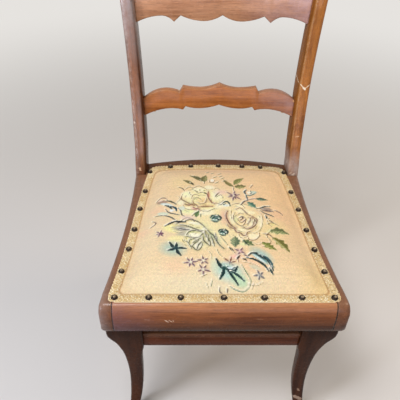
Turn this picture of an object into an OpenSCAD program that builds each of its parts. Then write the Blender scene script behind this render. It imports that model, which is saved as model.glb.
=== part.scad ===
// Side chair with a shaped crest rail, a shaped mid rail and a needlepoint seat.
// Millimetres. Z is up, the front faces -Y, and the origin is on the floor under the middle.
// Left and right are as seen from the front.

/* [Overall] */
// Height of the seat frame's top above the floor
seat_h = 432; // [400:1:460]
// Height of the rear posts
post_h = 852; // [780:1:920]
// Width of the seat frame across its front corners
seat_front_w = 470; // [430:1:500]
// Width of the seat frame across the rear posts
seat_rear_w = 398; // [370:1:420]
// Overall depth from the front rail to the rear feet
overall_d = 500; // [470:1:530]
// Depth of the seat from its front to the posts
seat_d = 403; // [380:1:430]

/* [Rear posts] */
// Thickness of the post board, side to side
post_t = 25; // [20:0.5:30]
// Depth of the post at the seat, front to back
post_d = 50; // [44:1:56]
// How far the post's front edge leans back from the seat to the top
back_rake = 55; // [40:1:70]
// How far the rear foot stands back from the seat
leg_rake = 66; // [50:1:70]
// Angle at which the side frames spread towards the front, in degrees
frame_splay = 5.3; // [3:0.1:7]
// Angle at which the posts lean outwards above the seat, in degrees
post_lean = 2.8; // [0:0.1:3]
// Height above the seat at which the posts start to lean outwards
lean_start = 60; // [0:1:100]
// Rounding of the post's edges
post_round = 5; // [2:0.5:7]

/* [Back rails] */
// Thickness of the crest rail and the mid rail
slat_t = 17; // [14:0.5:18]
// Distance from the post's front edge back to the face of the crest and mid rails
slat_setback = 21; // [18:0.5:24]
// Distance from the posts' top down to the crest rail's lower corners
crest_drop = 75; // [65:1:90]
// Height of the crest rail between its lower corners and its crown
crest_h = 85; // [60:1:90]
// Share of the open height between the seat and the crest rail that lies below the mid rail
lower_gap_share = 0.493; // [0.4:0.01:0.6]
// Height of the mid rail between its lower corners and its centre point
mid_h = 73; // [60:1:80]
// How far the middle of both rails bows backwards
slat_bow = 4; // [0:0.5:5]
// Rounding of both rails' edges
slat_round = 3.5; // [1:0.5:5]

/* [Seat rails] */
// Width of a side rail's section
side_rail_w = 50; // [44:1:54]
// Height of a side rail's section
side_rail_h = 58; // [50:1:62]
// Thickness of the rolled nose that laps the front rail's end
nose_t = 25; // [20:0.5:30]
// Depth of the front rail, front to back
front_rail_d = 50; // [46:1:54]
// Height of the front rail
front_rail_h = 76; // [68:1:82]
// Depth of the roll on the front rail's upper edge
roll_d = 16.5; // [12:0.5:18]
// Height of the roll on the front rail's upper edge
roll_h = 34; // [26:1:38]
// Depth of the round on the front rail's lower edge
under_d = 9; // [5:0.5:12]
// Height of the round on the front rail's lower edge
under_h = 26; // [16:1:30]
// Depth of the rear rail at the posts
rear_rail_d = 48; // [44:1:49]
// How far the rear rail's back bows outwards
rear_bow = 21; // [8:1:24]
// Rounding of the seat frame's outer upper edge
rail_round = 9; // [4:0.5:11]

/* [Front legs] */
// Width of a leg's bracket head, where it meets the front rail
leg_head_w = 75; // [70:0.5:80]
// Depth of a leg, front to back
leg_d = 30; // [28:1:34]
// How far the foot sweeps forward of the leg's waist
leg_sweep = 18; // [8:1:20]
// Setback of the leg's waist from the seat's front
leg_setback = 27; // [24:1:30]
// Rounding of a leg's edges
leg_round = 5; // [2:0.5:7]
// Height of the slot between the front rail and the lower front rail
slot_h = 41; // [34:1:48]
// Height of the lower front rail
apron_h = 41; // [34:1:46]
// Thickness of the lower front rail
apron_t = 19; // [14:0.5:20]
// Setback of the lower front rail from the seat's front
apron_setback = 27; // [25:0.5:28]

/* [Upholstery] */
// Wood left bare outside the cover along the sides
side_margin = 14.5; // [12:0.5:16]
// Wood left bare in front of the cover
front_margin = 15.5; // [15.5:0.5:17]
// Extra wood left bare where the cover is drawn in beside the rear posts
post_margin = 14; // [13:0.5:18]
// Wood left bare behind the cover at the middle
rear_margin = 29; // [26:0.5:32]
// How far the cover's rear edge bows backwards
cover_bow = 11; // [4:0.5:14]
// Thickness of the needlepoint cover
cover_t = 1.2; // [0.8:0.1:1.5]
// Height of the stuffing's crown above the seat frame
pad_h = 24; // [12:1:30]
// Width of the gimp braid
gimp_w = 18; // [12:0.5:19]
// Thickness of the gimp braid
gimp_t = 1.6; // [1:0.1:2.5]
// Width of a webbing strap
strap_w = 50; // [40:1:54]
// Thickness of a webbing strap
strap_t = 1.6; // [1.2:0.1:1.8]
// Thickness of the hessian sheet
hessian_t = 1; // [0.6:0.1:1.2]

/* [Fastenings] */
// Diameter of a decorative nail's head
nail_head_d = 12; // [9:0.5:14]
// Height of a decorative nail's head
nail_head_h = 4; // [3:0.25:5]
// Diameter of a decorative nail's shank
nail_shank_d = 1.8; // [1.4:0.1:2.2]
// Length of a decorative nail below its head
nail_l = 14; // [10:1:16]
// Diameter of the dowels in the rails
dowel_d = 8; // [6:0.5:9]
// Diameter of the dowels in the front legs
leg_dowel_d = 10; // [8:0.5:12]
// Clearance around a dowel, nail or screw in its bore
fit = 0.05; // [0.02:0.01:0.08]
// Diameter of a corner block screw
screw_d = 4; // [3:0.25:5]

/* [Hidden] */

// Colours of the chair's materials
mahogany = "#8A4A2C";
beech = "#C9A876";
jute = "#B08D57";
linen = "#C8B48A";
cotton = "#E6DDC8";
canvas = "#E8CFA0";
gold = "#D2AE5A";
bronze = "#5A4632";
steel = "#8C8C8C";

// Overrun of every cut past the face that it opens
over = 2;

// Tacks that hold the webbing
tack_head_d = 5;
tack_head_h = 0.8;
tack_shank_d = 1.6;
tack_l = 9;

// Planes of the seat frame
front_y = -overall_d / 2;
joint_y = front_y + seat_d;
rail_back_y = front_y + front_rail_d;
leg_h = seat_h - front_rail_h;
apron_z = leg_h - slot_h - apron_h;
crest_z = post_h - crest_drop;
mid_z = seat_h + (crest_z - seat_h - mid_h) * lower_gap_share;
post_in = seat_rear_w / 2 - post_t;
nose_in = seat_front_w / 2 - nose_t;
flare_end_y = front_y + roll_d + rail_round;
rail_bottom = seat_h - side_rail_h;

// Curve through a table of [place, value] rows with its slopes taken from the neighbours.
function row_of(tbl, v, i = 0) = (i >= len(tbl) - 2 || v < tbl[i + 1][0]) ? i : row_of(tbl, v, i + 1);
function slope(tbl, i) =
    let (a = max(i - 1, 0), b = min(i + 1, len(tbl) - 1))
    (tbl[b][1] - tbl[a][1]) / (tbl[b][0] - tbl[a][0]);
function curve(tbl, v) =
    let (i = row_of(tbl, v), h = tbl[i + 1][0] - tbl[i][0], t = (v - tbl[i][0]) / h)
    tbl[i][1] * (2 * pow(t, 3) - 3 * t * t + 1) + tbl[i + 1][1] * (3 * t * t - 2 * pow(t, 3))
    + h * slope(tbl, i) * (pow(t, 3) - 2 * t * t + t) + h * slope(tbl, i + 1) * (pow(t, 3) - t * t);

// Edge through a table of [place, value, kind] rows, whose kind shapes the stretch that follows:
// 0 is straight, 1 leaves a cusp and ends level, 2 starts level and runs into a cusp.
function eased(kind, t) = kind == 1 ? 1 - (1 - t) * (1 - t) : kind == 2 ? t * t : t;
function edge(tbl, v) =
    let (i = row_of(tbl, v), t = (v - tbl[i][0]) / (tbl[i + 1][0] - tbl[i][0]))
    tbl[i][1] + (tbl[i + 1][1] - tbl[i][1]) * eased(tbl[i][2], t);

function clamp(v, low, high) = min(max(v, low), high);

// Rounded rectangle, anticlockwise, with its own radius at each corner and n steps in each.
function arc(cx, cy, r, from, n) =
    [for (i = [0:n]) [cx + r * cos(from + 90 * i / n), cy + r * sin(from + 90 * i / n)]];
function round_rect(x0, x1, y0, y1, r, n) = concat(
    arc(x0 + r[0], y0 + r[0], r[0], 180, n),
    arc(x1 - r[1], y0 + r[1], r[1], 270, n),
    arc(x1 - r[2], y1 - r[2], r[2], 0, n),
    arc(x0 + r[3], y1 - r[3], r[3], 90, n));

// Solid through a list of rings that have the same number of points.
module skin(rings) {
    n = len(rings[0]);
    last = len(rings) - 1;
    points = [for (ring = rings) for (p = ring) p];
    sides = [for (k = [0:last - 1]) for (i = [0:n - 1]) let (j = (i + 1) % n)
        each [[k * n + i, (k + 1) * n + i, (k + 1) * n + j], [k * n + i, (k + 1) * n + j, k * n + j]]];
    bottom = [for (i = [0:n - 1]) i];
    top = [for (i = [0:n - 1]) last * n + n - 1 - i];
    polyhedron(points = points, faces = concat([bottom], sides, [top]), convexity = 8);
}

// Copy for the left side of the chair, whose right side is drawn.
module on_side(side) mirror([side < 0 ? 1 : 0, 0, 0]) children();

// Cylinder whose axis runs along X, Y or Z from a point.
module rod(at, axis, r, l) {
    turn = axis == "x" ? [0, 90, 0] : axis == "y" ? [-90, 0, 0] : [0, 0, 0];
    translate(at) rotate(turn) cylinder(r = r, h = l, $fn = 24);
}

// Rear posts

// Front edge of the leg below the seat: [share of seat_h, share of leg_rake]
leg_rake_shares = [[0, 1], [0.12, 0.7], [0.25, 0.44], [0.42, 0.18], [0.6, 0.04], [0.75, 0], [1, 0]];
// Front edge of the post above the seat: [share of the height above it, share of back_rake]
back_rake_shares = [[0, 0], [0.06, 0.06], [0.21, 0.36], [0.48, 0.77], [0.73, 0.95], [0.96, 1], [1, 1]];
// Depth of the post: [share of post_h, share of post_d]
post_depth_shares = [[0, 0.62], [0.12, 0.64], [0.25, 0.72], [0.4, 0.9], [0.46, 1], [0.52, 1],
    [0.62, 0.92], [0.74, 0.9], [0.86, 0.87], [1, 0.82]];
// Rounding of the post's top: [share of post_round left above, share of post_round taken off]
post_top_shares = [[1.2, 0], [0.6, 0.18], [0.2, 0.5], [0, 0.95]];
post_steps = 26;

function post_front(z) = joint_y + (z < seat_h
    ? leg_rake * clamp(curve(leg_rake_shares, z / seat_h), 0, 1)
    : back_rake * clamp(curve(back_rake_shares, (z - seat_h) / (post_h - seat_h)), 0, 1));
function post_depth(z) = post_d * min(curve(post_depth_shares, z / post_h), 1);
// Inner face of the post: upright at the seat, and a leaning plane above lean_start
function post_face(y, z) =
    post_in - tan(frame_splay) * (y - joint_y) + tan(post_lean) * max(z - seat_h - lean_start, 0);
function post_ring(z, inset) = [
    for (p = round_rect(inset, post_t - inset, post_front(z) + inset,
        post_front(z) + post_depth(z) - inset, [for (i = [0:3]) post_round], 3))
    [post_face(p[1], z) + p[0], p[1], z]];

module rear_post(side) {
    body_h = post_h - post_top_shares[0][0] * post_round;
    rings = concat(
        [for (i = [0:post_steps]) post_ring(body_h * i / post_steps, 0)],
        [for (i = [1:len(post_top_shares) - 1])
            post_ring(post_h - post_top_shares[i][0] * post_round, post_top_shares[i][1] * post_round)]);
    color(mahogany) on_side(side) difference() {
        skin(rings);
        slat_bores(crest_dowel_z, 0, fit);
        slat_bores(mid_dowel_z, 0, fit);
        rear_rail_bores(fit);
        side_rail_bores(fit);
    }
}

// Crest rail and mid rail

// Lower edge of the crest rail: [share of its half length, share of crest_h, kind]
crest_low_shares = [[0, 0.18, 1], [0.216, 0.03, 2], [0.486, 0.165, 0], [0.565, 0.01, 1],
    [0.7, 0.16, 2], [1, 0, 0]];
// Upper edge of the crest rail
crest_top_shares = [[0, 1, 1], [0.26, 0.91, 2], [0.486, 0.95, 0], [0.53, 0.88, 1], [0.7, 0.91, 2],
    [1, 0.79, 0]];
crest_station_shares = [0, 0.03, 0.07, 0.12, 0.17, 0.216, 0.26, 0.33, 0.39, 0.44, 0.486, 0.53, 0.565,
    0.59, 0.62, 0.66, 0.7, 0.76, 0.82, 0.88, 0.94, 1];
// Lower edge of the mid rail: [share of its half length, share of mid_h, kind]
mid_low_shares = [[0, 0.34, 1], [0.28, 0.22, 2], [0.449, 0.285, 0], [0.483, 0.175, 1], [0.62, 0.225, 2],
    [1, 0, 0]];
// Upper edge of the mid rail
mid_top_shares = [[0, 1, 1], [0.26, 0.85, 2], [0.483, 0.91, 0], [0.528, 0.735, 1], [0.71, 0.825, 2],
    [1, 0.55, 0]];
mid_station_shares = [0, 0.03, 0.07, 0.12, 0.17, 0.22, 0.26, 0.33, 0.39, 0.42, 0.449, 0.483, 0.505,
    0.528, 0.56, 0.62, 0.66, 0.71, 0.77, 0.83, 0.89, 0.95, 1];
// Heights of the dowels in each rail's end, as shares of the rail's height
crest_dowel_z = crest_z + crest_h * 0.2;
crest_dowel_step = crest_h * 0.35;
mid_dowel_z = mid_z + mid_h * 0.14;
mid_dowel_step = mid_h * 0.26;
slat_dowel_in_post = post_t * 0.64;
slat_dowel_in_rail = post_t;

function slat_ring(s, low, high) =
    let (bow = slat_bow * (1 - s * s))
    [for (p = round_rect(0, slat_t, low, high, [for (i = [0:3]) slat_round], 2))
        let (y = post_front(p[1]) + slat_setback + bow + p[0])
        [s * post_face(y - bow, p[1]), y, p[1]]];
function both_ways(shares) = concat(
    [for (i = [len(shares) - 1:-1:1]) -shares[i]], shares);

module slat(z0, h, low_shares, top_shares, stations) {
    skin([for (s = both_ways(stations))
        slat_ring(s, z0 + h * edge(low_shares, abs(s)), z0 + h * edge(top_shares, abs(s)))]);
}

// Dowels of one end of a slat, or their bores
module slat_bores(z0, short, gap) {
    step = z0 == crest_dowel_z ? crest_dowel_step : mid_dowel_step;
    for (z = [z0, z0 + step]) {
        y = post_front(z) + slat_setback + slat_t / 2;
        rod([post_face(y, z) - slat_dowel_in_rail + short, y, z], "x",
            dowel_d / 2 + gap, slat_dowel_in_rail + slat_dowel_in_post - 2 * short);
    }
}

module crest_rail() color(mahogany) difference() {
    slat(crest_z, crest_h, crest_low_shares, crest_top_shares, crest_station_shares);
    for (side = [-1, 1]) on_side(side) slat_bores(crest_dowel_z, 0, fit);
}

module mid_rail() color(mahogany) difference() {
    slat(mid_z, mid_h, mid_low_shares, mid_top_shares, mid_station_shares);
    for (side = [-1, 1]) on_side(side) slat_bores(mid_dowel_z, 0, fit);
}

// Seat rails

// Outer face of the seat frame in plan
function rail_out(y) =
    let (t = clamp((joint_y - y) / (joint_y - flare_end_y), 0, 1))
    (seat_rear_w + (seat_front_w - seat_rear_w) * t * t) / 2;
// Roll along the seat's front, from above and from below
function roll_top(y) =
    let (u = clamp((front_y + roll_d - y) / roll_d, 0, 1))
    seat_h - roll_h * (1 - sqrt(1 - u * u));
function roll_under(y) =
    let (v = clamp((front_y + under_d - y) / under_d, 0, 1))
    leg_h + under_h * (1 - sqrt(1 - v * v));
// Underside of a side rail: it rises from the nose to the rail's own height
function behind_nose(y) = clamp((y - rail_back_y) / (side_rail_w * 1.5), 0, 1);
function side_under(y) =
    let (t = behind_nose(y))
    roll_under(y) + (rail_bottom - leg_h) * t * t * (3 - 2 * t);
roll_steps = 7;
rail_steps = 14;
roll_ys = [for (i = [0:roll_steps]) front_y + roll_d * (1 - sin(90 - 90 * i / roll_steps))];
rail_ys = [for (i = [1:rail_steps]) front_y + roll_d + (seat_d - roll_d) * i / rail_steps];
nose_round = rail_round * 0.6;
nose_under_round = rail_round * 0.95;
inner_round = rail_round * 0.1;

function side_ring(y) =
    let (
        w = clamp((front_y + nose_round - y) / nose_round, 0, 1),
        out = rail_out(y) - nose_round * (1 - sqrt(1 - w * w)),
        tall = roll_top(y) - side_under(y),
        r = min(rail_round, tall * 0.4),
        q = min(nose_under_round + (nose_round - nose_under_round) * behind_nose(y), tall * 0.4),
        ring = round_rect(out - side_rail_w, out, side_under(y), roll_top(y),
            [inner_round, q, r, inner_round], 3))
    [for (i = [len(ring) - 1:-1:0]) [ring[i][0], y, ring[i][1]]];

module side_rail(side) color(mahogany) on_side(side) difference() {
    skin([for (y = concat(roll_ys, rail_ys)) side_ring(y)]);
    translate([0, front_y - over, 0]) cube([nose_in, front_rail_d + over, seat_h + over]);
    translate([0, 0, side_floor]) linear_extrude(rebate_cut_h) polygon(outline(rebate_inset));
    side_rail_bores(fit);
    front_rail_bores(fit);
    leg_bores(fit);
    block_screw_bores(fit);
    nail_shanks(fit);
    tack_shanks(fit);
}

module front_rail_profile() polygon(concat(
    [[rail_back_y, seat_h]],
    [for (i = [roll_steps:-1:0]) [roll_ys[i], roll_top(roll_ys[i])]],
    [for (i = [0:roll_steps]) let (a = 90 * i / roll_steps)
        [front_y + under_d * (1 - cos(a)), leg_h + under_h * (1 - sin(a))]],
    [[rail_back_y, leg_h]]));

module front_rail() color(mahogany) difference() {
    translate([-nose_in, 0, 0]) rotate([90, 0, 90]) linear_extrude(2 * nose_in) front_rail_profile();
    translate([0, 0, end_floor]) linear_extrude(rebate_cut_h) polygon(outline(rebate_inset));
    for (side = [-1, 1]) on_side(side) {
        front_rail_bores(fit);
        leg_bores(fit);
        block_screw_bores(fit);
    }
    all_nail_shanks(fit);
    all_tack_shanks(fit);
}

function rear_back(s) = joint_y + rear_rail_d + rear_bow * (1 - s * s);
rear_station_shares = [for (i = [-8:8]) i / 8];
function rear_ring(s) =
    [for (p = round_rect(joint_y, rear_back(s), rail_bottom, seat_h,
        [inner_round, nose_round, nose_round, inner_round], 3))
        [s * post_face(p[0], p[1]), p[0], p[1]]];

module rear_seat_rail() color(mahogany) difference() {
    skin([for (s = rear_station_shares) rear_ring(s)]);
    translate([0, 0, end_floor]) linear_extrude(rebate_cut_h) polygon(outline(rebate_inset));
    for (side = [-1, 1]) on_side(side) {
        rear_rail_bores(fit);
        block_screw_bores(fit);
    }
    all_nail_shanks(fit);
    all_tack_shanks(fit);
}

// Dowels of the seat frame, or their bores with a gap
pair_low_share = 0.3;
pair_high_share = 0.72;
seat_dowel_l = side_rail_w;
end_gap = fit * 10;
function pair_zs(h) = [seat_h - h + h * pair_low_share, seat_h - h + h * pair_high_share];

module side_rail_bores(gap, short = 0)
    for (z = pair_zs(side_rail_h))
        rod([post_in + post_t / 2, joint_y - seat_dowel_l / 2 + short, z], "y",
            dowel_d / 2 + gap, seat_dowel_l * 0.92 - 2 * short);

module rear_rail_bores(gap, short = 0)
    for (z = pair_zs(side_rail_h)) {
        y = joint_y + rear_rail_d * 0.7;
        rod([post_face(y, seat_h) - slat_dowel_in_rail + short, y, z], "x",
            dowel_d / 2 + gap, slat_dowel_in_rail + slat_dowel_in_post - 2 * short);
    }

module front_rail_bores(gap, short = 0)
    for (z = pair_zs(front_rail_h))
        rod([nose_in - slat_dowel_in_rail + short, front_y + front_rail_d * 0.52, z], "x",
            dowel_d / 2 + gap, slat_dowel_in_rail + nose_t * 0.6 - 2 * short);

leg_dowel_l = leg_d * 1.5;
leg_dowel_y = front_y + front_rail_d * 0.53;
module leg_bores(gap, short = 0)
    for (x = [nose_in + nose_t / 2 - dowel_d / 8, nose_in - nose_t])
        rod([x, leg_dowel_y, leg_h - leg_dowel_l / 2 + short], "z",
            leg_dowel_d / 2 + gap, leg_dowel_l * 0.84 - 2 * short);

module apron_bores(gap, short = 0)
    rod([leg_in - slat_dowel_in_rail + short, apron_y + apron_t / 2, apron_z + apron_h / 2], "x",
        dowel_d / 2 + gap, slat_dowel_in_rail + nose_t - 2 * short);

// Front legs and the lower front rail

// Outer edge of a leg: [share of leg_h, share of the seat's half front width]
leg_out_shares = [[0, 0.894], [0.112, 0.868], [0.225, 0.852], [0.337, 0.842], [0.441, 0.838],
    [0.534, 0.84], [0.624, 0.847], [0.708, 0.861], [0.75, 0.876], [0.781, 0.892], [0.812, 0.908],
    [0.843, 0.932], [0.871, 0.964], [0.9, 0.985], [0.93, 0.988], [0.965, 0.986], [1, 0.98]];
// Inner edge of a leg below the lower front rail: [share of apron_z, share of leg_in]
leg_in_shares = [[0, 1.17], [0.11, 1.15], [0.2, 1.12], [0.32, 1.085], [0.45, 1.06],
    [0.57, 1.05], [0.69, 1.044], [0.81, 1.04], [0.92, 1.028], [1, 1]];
// Front of a leg: [share of leg_h, share of leg_sweep]
leg_front_shares = [[0, 1], [0.137, 0.5], [0.273, 0.12], [0.41, 0], [0.546, 0.1], [0.683, 0.3],
    [0.95, 0.55], [1, 0.55]];
// Depth of a leg: [share of leg_h, share of leg_d]
leg_depth_shares = [[0, 0.94], [0.1, 0.84], [0.25, 0.78], [0.5, 0.88], [0.75, 1], [1, 1]];
leg_station_shares = [0, 0.02, 0.06, 0.11, 0.17, 0.23, 0.3, 0.37, 0.44, 0.51, 0.58, 0.65, 0.7, 0.74,
    0.77, 0.795, 0.82, 0.845, 0.87, 0.895, 0.92, 0.945, 0.97, 1];
leg_in = seat_front_w / 2 - leg_head_w;
leg_y = front_y + leg_setback;
apron_y = front_y + apron_setback;

function leg_inner(z) = z >= apron_z ? leg_in : leg_in * curve(leg_in_shares, z / apron_z);
function leg_ring(u) =
    let (
        z = u * leg_h,
        y = leg_y - leg_sweep * curve(leg_front_shares, u))
    [for (p = round_rect(leg_inner(z), seat_front_w / 2 * curve(leg_out_shares, u),
        y, y + leg_d * curve(leg_depth_shares, u), [for (i = [0:3]) leg_round], 3))
        [p[0], p[1], z]];

module front_leg(side) color(mahogany) on_side(side) difference() {
    skin([for (u = leg_station_shares) leg_ring(u)]);
    leg_bores(fit);
    apron_bores(fit);
}

// Section of the lower front rail: a bead along its top edge above a shallow groove
bead_h = apron_h * 0.2;
groove_d = apron_t * 0.12;
module lower_front_rail() color(mahogany) difference() {
    translate([-leg_in, apron_y, apron_z]) rotate([90, 0, 90]) linear_extrude(2 * leg_in) polygon([
        [groove_d, 0], [apron_t, 0], [apron_t, apron_h], [groove_d, apron_h],
        [0, apron_h - bead_h * 0.35], [0, apron_h - bead_h * 0.75], [groove_d, apron_h - bead_h],
        [groove_d * 1.6, apron_h - bead_h * 1.2], [groove_d, apron_h - bead_h * 1.5],
        [groove_d * 0.6, apron_h - bead_h * 1.8], [groove_d * 0.6, groove_d],
    ]);
    for (side = [-1, 1]) on_side(side) apron_bores(fit);
}

// Corner blocks and their screws

block_h = side_rail_h * 0.6;
block_z = rail_bottom + side_rail_h * 0.08;
block_reach = side_rail_w * 1.1;
block_depth = side_rail_w * 0.9;
block_gap = fit * 4;
screw_head_d = screw_d * 2;
screw_l = block_depth * 0.85;
function rail_in(y) = rail_out(y) - side_rail_w;

// Plan of a block in the right corner at y0, which runs back from there (way 1) or forward (-1)
function block_plan(y0, way) = concat(
    [for (i = [0:3]) let (y = y0 + way * block_depth * i / 3) [rail_in(y) - block_gap, y]],
    [[rail_in(y0) - block_reach, y0]]);

module corner_block(side, y0, way) color(beech) on_side(side) difference() {
    translate([0, 0, block_z]) linear_extrude(block_h) polygon(block_plan(y0, way));
    block_screws_at(y0, way, fit);
    block_sinks_at(y0, way);
}

// The two screws of one block: one into the front or rear rail, one into the side rail
function end_screw(y0, way) =
    [rail_in(y0) - block_reach * 0.42, y0 + way * block_depth * 0.4, block_z + block_h * 0.68];
function side_screw(y0, way) =
    [rail_in(y0) - block_reach * 0.42, y0 + way * block_depth * 0.34, block_z + block_h * 0.3];
module screw(gap) {
    cylinder(r1 = screw_head_d / 2 + gap, r2 = screw_d / 2 + gap, h = screw_d / 2, $fn = 24);
    cylinder(r = screw_d / 2 + gap, h = screw_l, $fn = 24);
}
module block_screws_at(y0, way, gap) {
    translate(end_screw(y0, way)) rotate([way * 90, 0, 0]) screw(gap);
    translate(side_screw(y0, way)) rotate([0, 90, 0]) screw(gap);
}
module block_sinks_at(y0, way) {
    translate(end_screw(y0, way)) rotate([-way * 90, 0, 0])
        cylinder(r = screw_head_d / 2 + fit, h = block_depth, $fn = 24);
    translate(side_screw(y0, way)) rotate([0, -90, 0])
        cylinder(r = screw_head_d / 2 + fit, h = block_reach, $fn = 24);
}
module block_screw_bores(gap) {
    block_screws_at(rail_back_y, 1, gap);
    block_screws_at(joint_y, -1, gap);
}
module corner_block_screws() color(steel)
    for (side = [-1, 1]) on_side(side) block_screw_bores(0);

// Upholstery

// The cover's outline in plan, drawn in by an inset and closed: it runs anticlockwise.
front_corner_r = gimp_w * 0.6;
rear_corner_x = gimp_w * 1.22;
rear_corner_y = gimp_w;
corner_least = gimp_w * 0.1;
front_corner_steps = 3;
rear_corner_steps = 5;
side_steps = 7;
rear_steps = 5;
cover_front = front_y + front_margin;
taper_y = joint_y - seat_d * 0.45;
function cover_side(y) =
    rail_out(y) - side_margin - post_margin * pow(max(y - taper_y, 0) / (joint_y - taper_y), 2);
function cover_rear(x) = rear_back(0) - rear_margin - cover_bow * pow(x / post_in, 2);

// Right half of the outline, from the front corner round to the rear's middle. Soft rounds its corners
// further.
function half_outline(inset, soft) =
    let (
        most = (cover_side(0) - inset) * 0.8,
        rf = min(max(front_corner_r - inset, corner_least) + soft, most),
        rx = min(max(rear_corner_x - inset, corner_least) + 2 * soft, most),
        ry = min(max(rear_corner_y - inset, corner_least) + 2 * soft, most),
        y_front = cover_front + inset,
        y_low = y_front + rf,
        x_front = cover_side(y_low) - inset - rf,
        y_high = cover_rear(post_in - rear_corner_x) - inset - ry,
        x_rear = cover_side(y_high) - inset - rx)
    concat(
        [for (i = [0:front_corner_steps - 1]) let (a = 90 * i / front_corner_steps)
            [x_front + rf * sin(a), y_low - rf * cos(a)]],
        [for (i = [0:side_steps]) let (y = y_low + (y_high - y_low) * i / side_steps)
            [cover_side(y) - inset, y]],
        [for (i = [1:rear_corner_steps]) let (a = 90 * i / rear_corner_steps, x = x_rear + rx * cos(a))
            [x, y_high + (cover_rear(x) - inset - y_high) * sin(a)]],
        [for (i = [rear_steps - 1:-1:0]) let (x = x_rear * i / rear_steps)
            [x, cover_rear(x) - inset]]);
function outline(inset, soft = 0) =
    let (half = half_outline(inset, soft))
    concat(half, [for (i = [len(half) - 2:-1:0]) [-half[i][0], half[i][1]]]);
function level(inset, z, soft = 0) = [for (p = outline(inset, soft)) [p[0], p[1], z]];

// Rebate for the webbing's ends, inside the gimp
rebate_inset = gimp_w + gimp_t * 1.5;
end_floor = seat_h - hessian_t - 2 * strap_t - tack_head_h;
side_floor = end_floor + strap_t;
rebate_cut_h = seat_h - end_floor + over;
sheet_inset = rebate_inset + fit * 10;

// Section of the stuffing: [share of pad_spread inwards, share of pad_h upwards]
pad_inset = rebate_inset + gimp_t * 2.5;
pad_spread = seat_rear_w * 0.3;
pad_shares = [[0, 0], [-0.014, 0.16], [0, 0.34], [0.05, 0.52], [0.16, 0.69], [0.35, 0.84],
    [0.65, 0.96], [1, 1]];
pad_gap = fit * 6;
pad_soft = gimp_w * 0.7;

// Point k of the section, moved outwards by a distance
function pad_point(k, out) =
    let (
        last = len(pad_shares) - 1,
        a = pad_shares[max(k - 1, 0)],
        b = pad_shares[min(k + 1, last)],
        run = [(b[0] - a[0]) * pad_spread, (b[1] - a[1]) * pad_h],
        l = norm(run),
        normal = k == last ? [0, 1] : k == 0 ? [-1, 0] : [-run[1] / l, run[0] / l])
    [pad_inset + pad_shares[k][0] * pad_spread + normal[0] * out,
        seat_h + pad_gap + pad_shares[k][1] * pad_h + normal[1] * out];
// Outline at point k, whose corners grow rounder towards the crown
function pad_level(k, out) =
    level(pad_point(k, out)[0], pad_point(k, out)[1], pad_soft + pad_shares[k][0] * pad_spread * 0.3);

module seat_stuffing() color(cotton)
    skin([for (k = [0:len(pad_shares) - 1]) pad_level(k, 0)]);

module needlepoint_cover() {
    last = len(pad_shares) - 1;
    color(canvas) difference() {
        skin(concat(
            [for (k = [last:-1:0]) pad_level(k, pad_gap)],
            [level(pad_point(0, pad_gap)[0], seat_h, pad_soft), level(0, seat_h), level(0, seat_h + cover_t),
                level(pad_point(0, pad_gap + cover_t)[0], seat_h + cover_t, pad_soft)],
            [for (k = [1:last]) pad_level(k, pad_gap + cover_t)]));
        all_nail_shanks(fit);
    }
}

module gimp_braid() color(gold) difference() {
    translate([0, 0, seat_h + cover_t]) linear_extrude(gimp_t) difference() {
        polygon(outline(fit * 8));
        polygon(outline(gimp_w, gimp_w / 2));
    }
    all_nail_shanks(fit);
}

module hessian_sheet() color(linen)
    translate([0, 0, seat_h - hessian_t]) linear_extrude(hessian_t) polygon(outline(sheet_inset));

// Webbing, laid from the front rail to the rear rail below and from side to side above
strap_inset = sheet_inset + fit * 10;
front_strap_shares = [-0.6, -0.2, 0.2, 0.6];
side_strap_shares = [0.13, 0.34, 0.55, 0.76];
function strap_x(share) = share * (post_in - fit);
function strap_y(share) = rail_back_y + share * (joint_y - rail_back_y);

module webbing_front_to_back() color(jute)
    difference() {
        for (s = front_strap_shares) intersection() {
            translate([strap_x(s) - strap_w / 2, front_y, end_floor]) cube([strap_w, overall_d, strap_t]);
            translate([0, 0, end_floor]) linear_extrude(strap_t) polygon(outline(strap_inset));
        }
        all_tack_shanks(fit);
    }

module webbing_side_to_side() color(jute)
    difference() {
        for (s = side_strap_shares) intersection() {
            translate([-seat_front_w / 2, strap_y(s) - strap_w / 2, side_floor])
                cube([seat_front_w, strap_w, strap_t]);
            translate([0, 0, side_floor]) linear_extrude(strap_t) polygon(outline(strap_inset));
        }
        all_tack_shanks(fit);
    }

// Places of the tacks: [x, y, height of the strap's upper face]
tack_row_shares = [-0.32, 0, 0.32];
tack_inset = side_rail_w - (side_rail_w - side_margin - rebate_inset) / 2;
rear_tack_y = joint_y + tack_head_d * 0.9;
front_tack_y = rail_back_y - tack_head_d * 1.4;
right_tacks = [for (s = side_strap_shares) for (r = tack_row_shares) let (y = strap_y(s) + r * strap_w)
    [rail_out(y) - tack_inset, y, side_floor + strap_t]];
end_tacks = [for (s = front_strap_shares) for (r = tack_row_shares) for (y = [front_tack_y, rear_tack_y])
    [strap_x(s) + r * strap_w, y, end_floor + strap_t]];

module tack_shanks(gap)
    for (p = right_tacks) rod(p - [0, 0, tack_l], "z", tack_shank_d / 2 + gap, tack_l);
module all_tack_shanks(gap) {
    for (side = [-1, 1]) on_side(side) tack_shanks(gap);
    for (p = end_tacks) rod(p - [0, 0, tack_l], "z", tack_shank_d / 2 + gap, tack_l);
}
module webbing_tacks() color(bronze) {
    all_tack_shanks(0);
    for (side = [-1, 1]) on_side(side)
        for (p = right_tacks) rod(p, "z", tack_head_d / 2, tack_head_h);
    for (p = end_tacks) rod(p, "z", tack_head_d / 2, tack_head_h);
}

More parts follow.
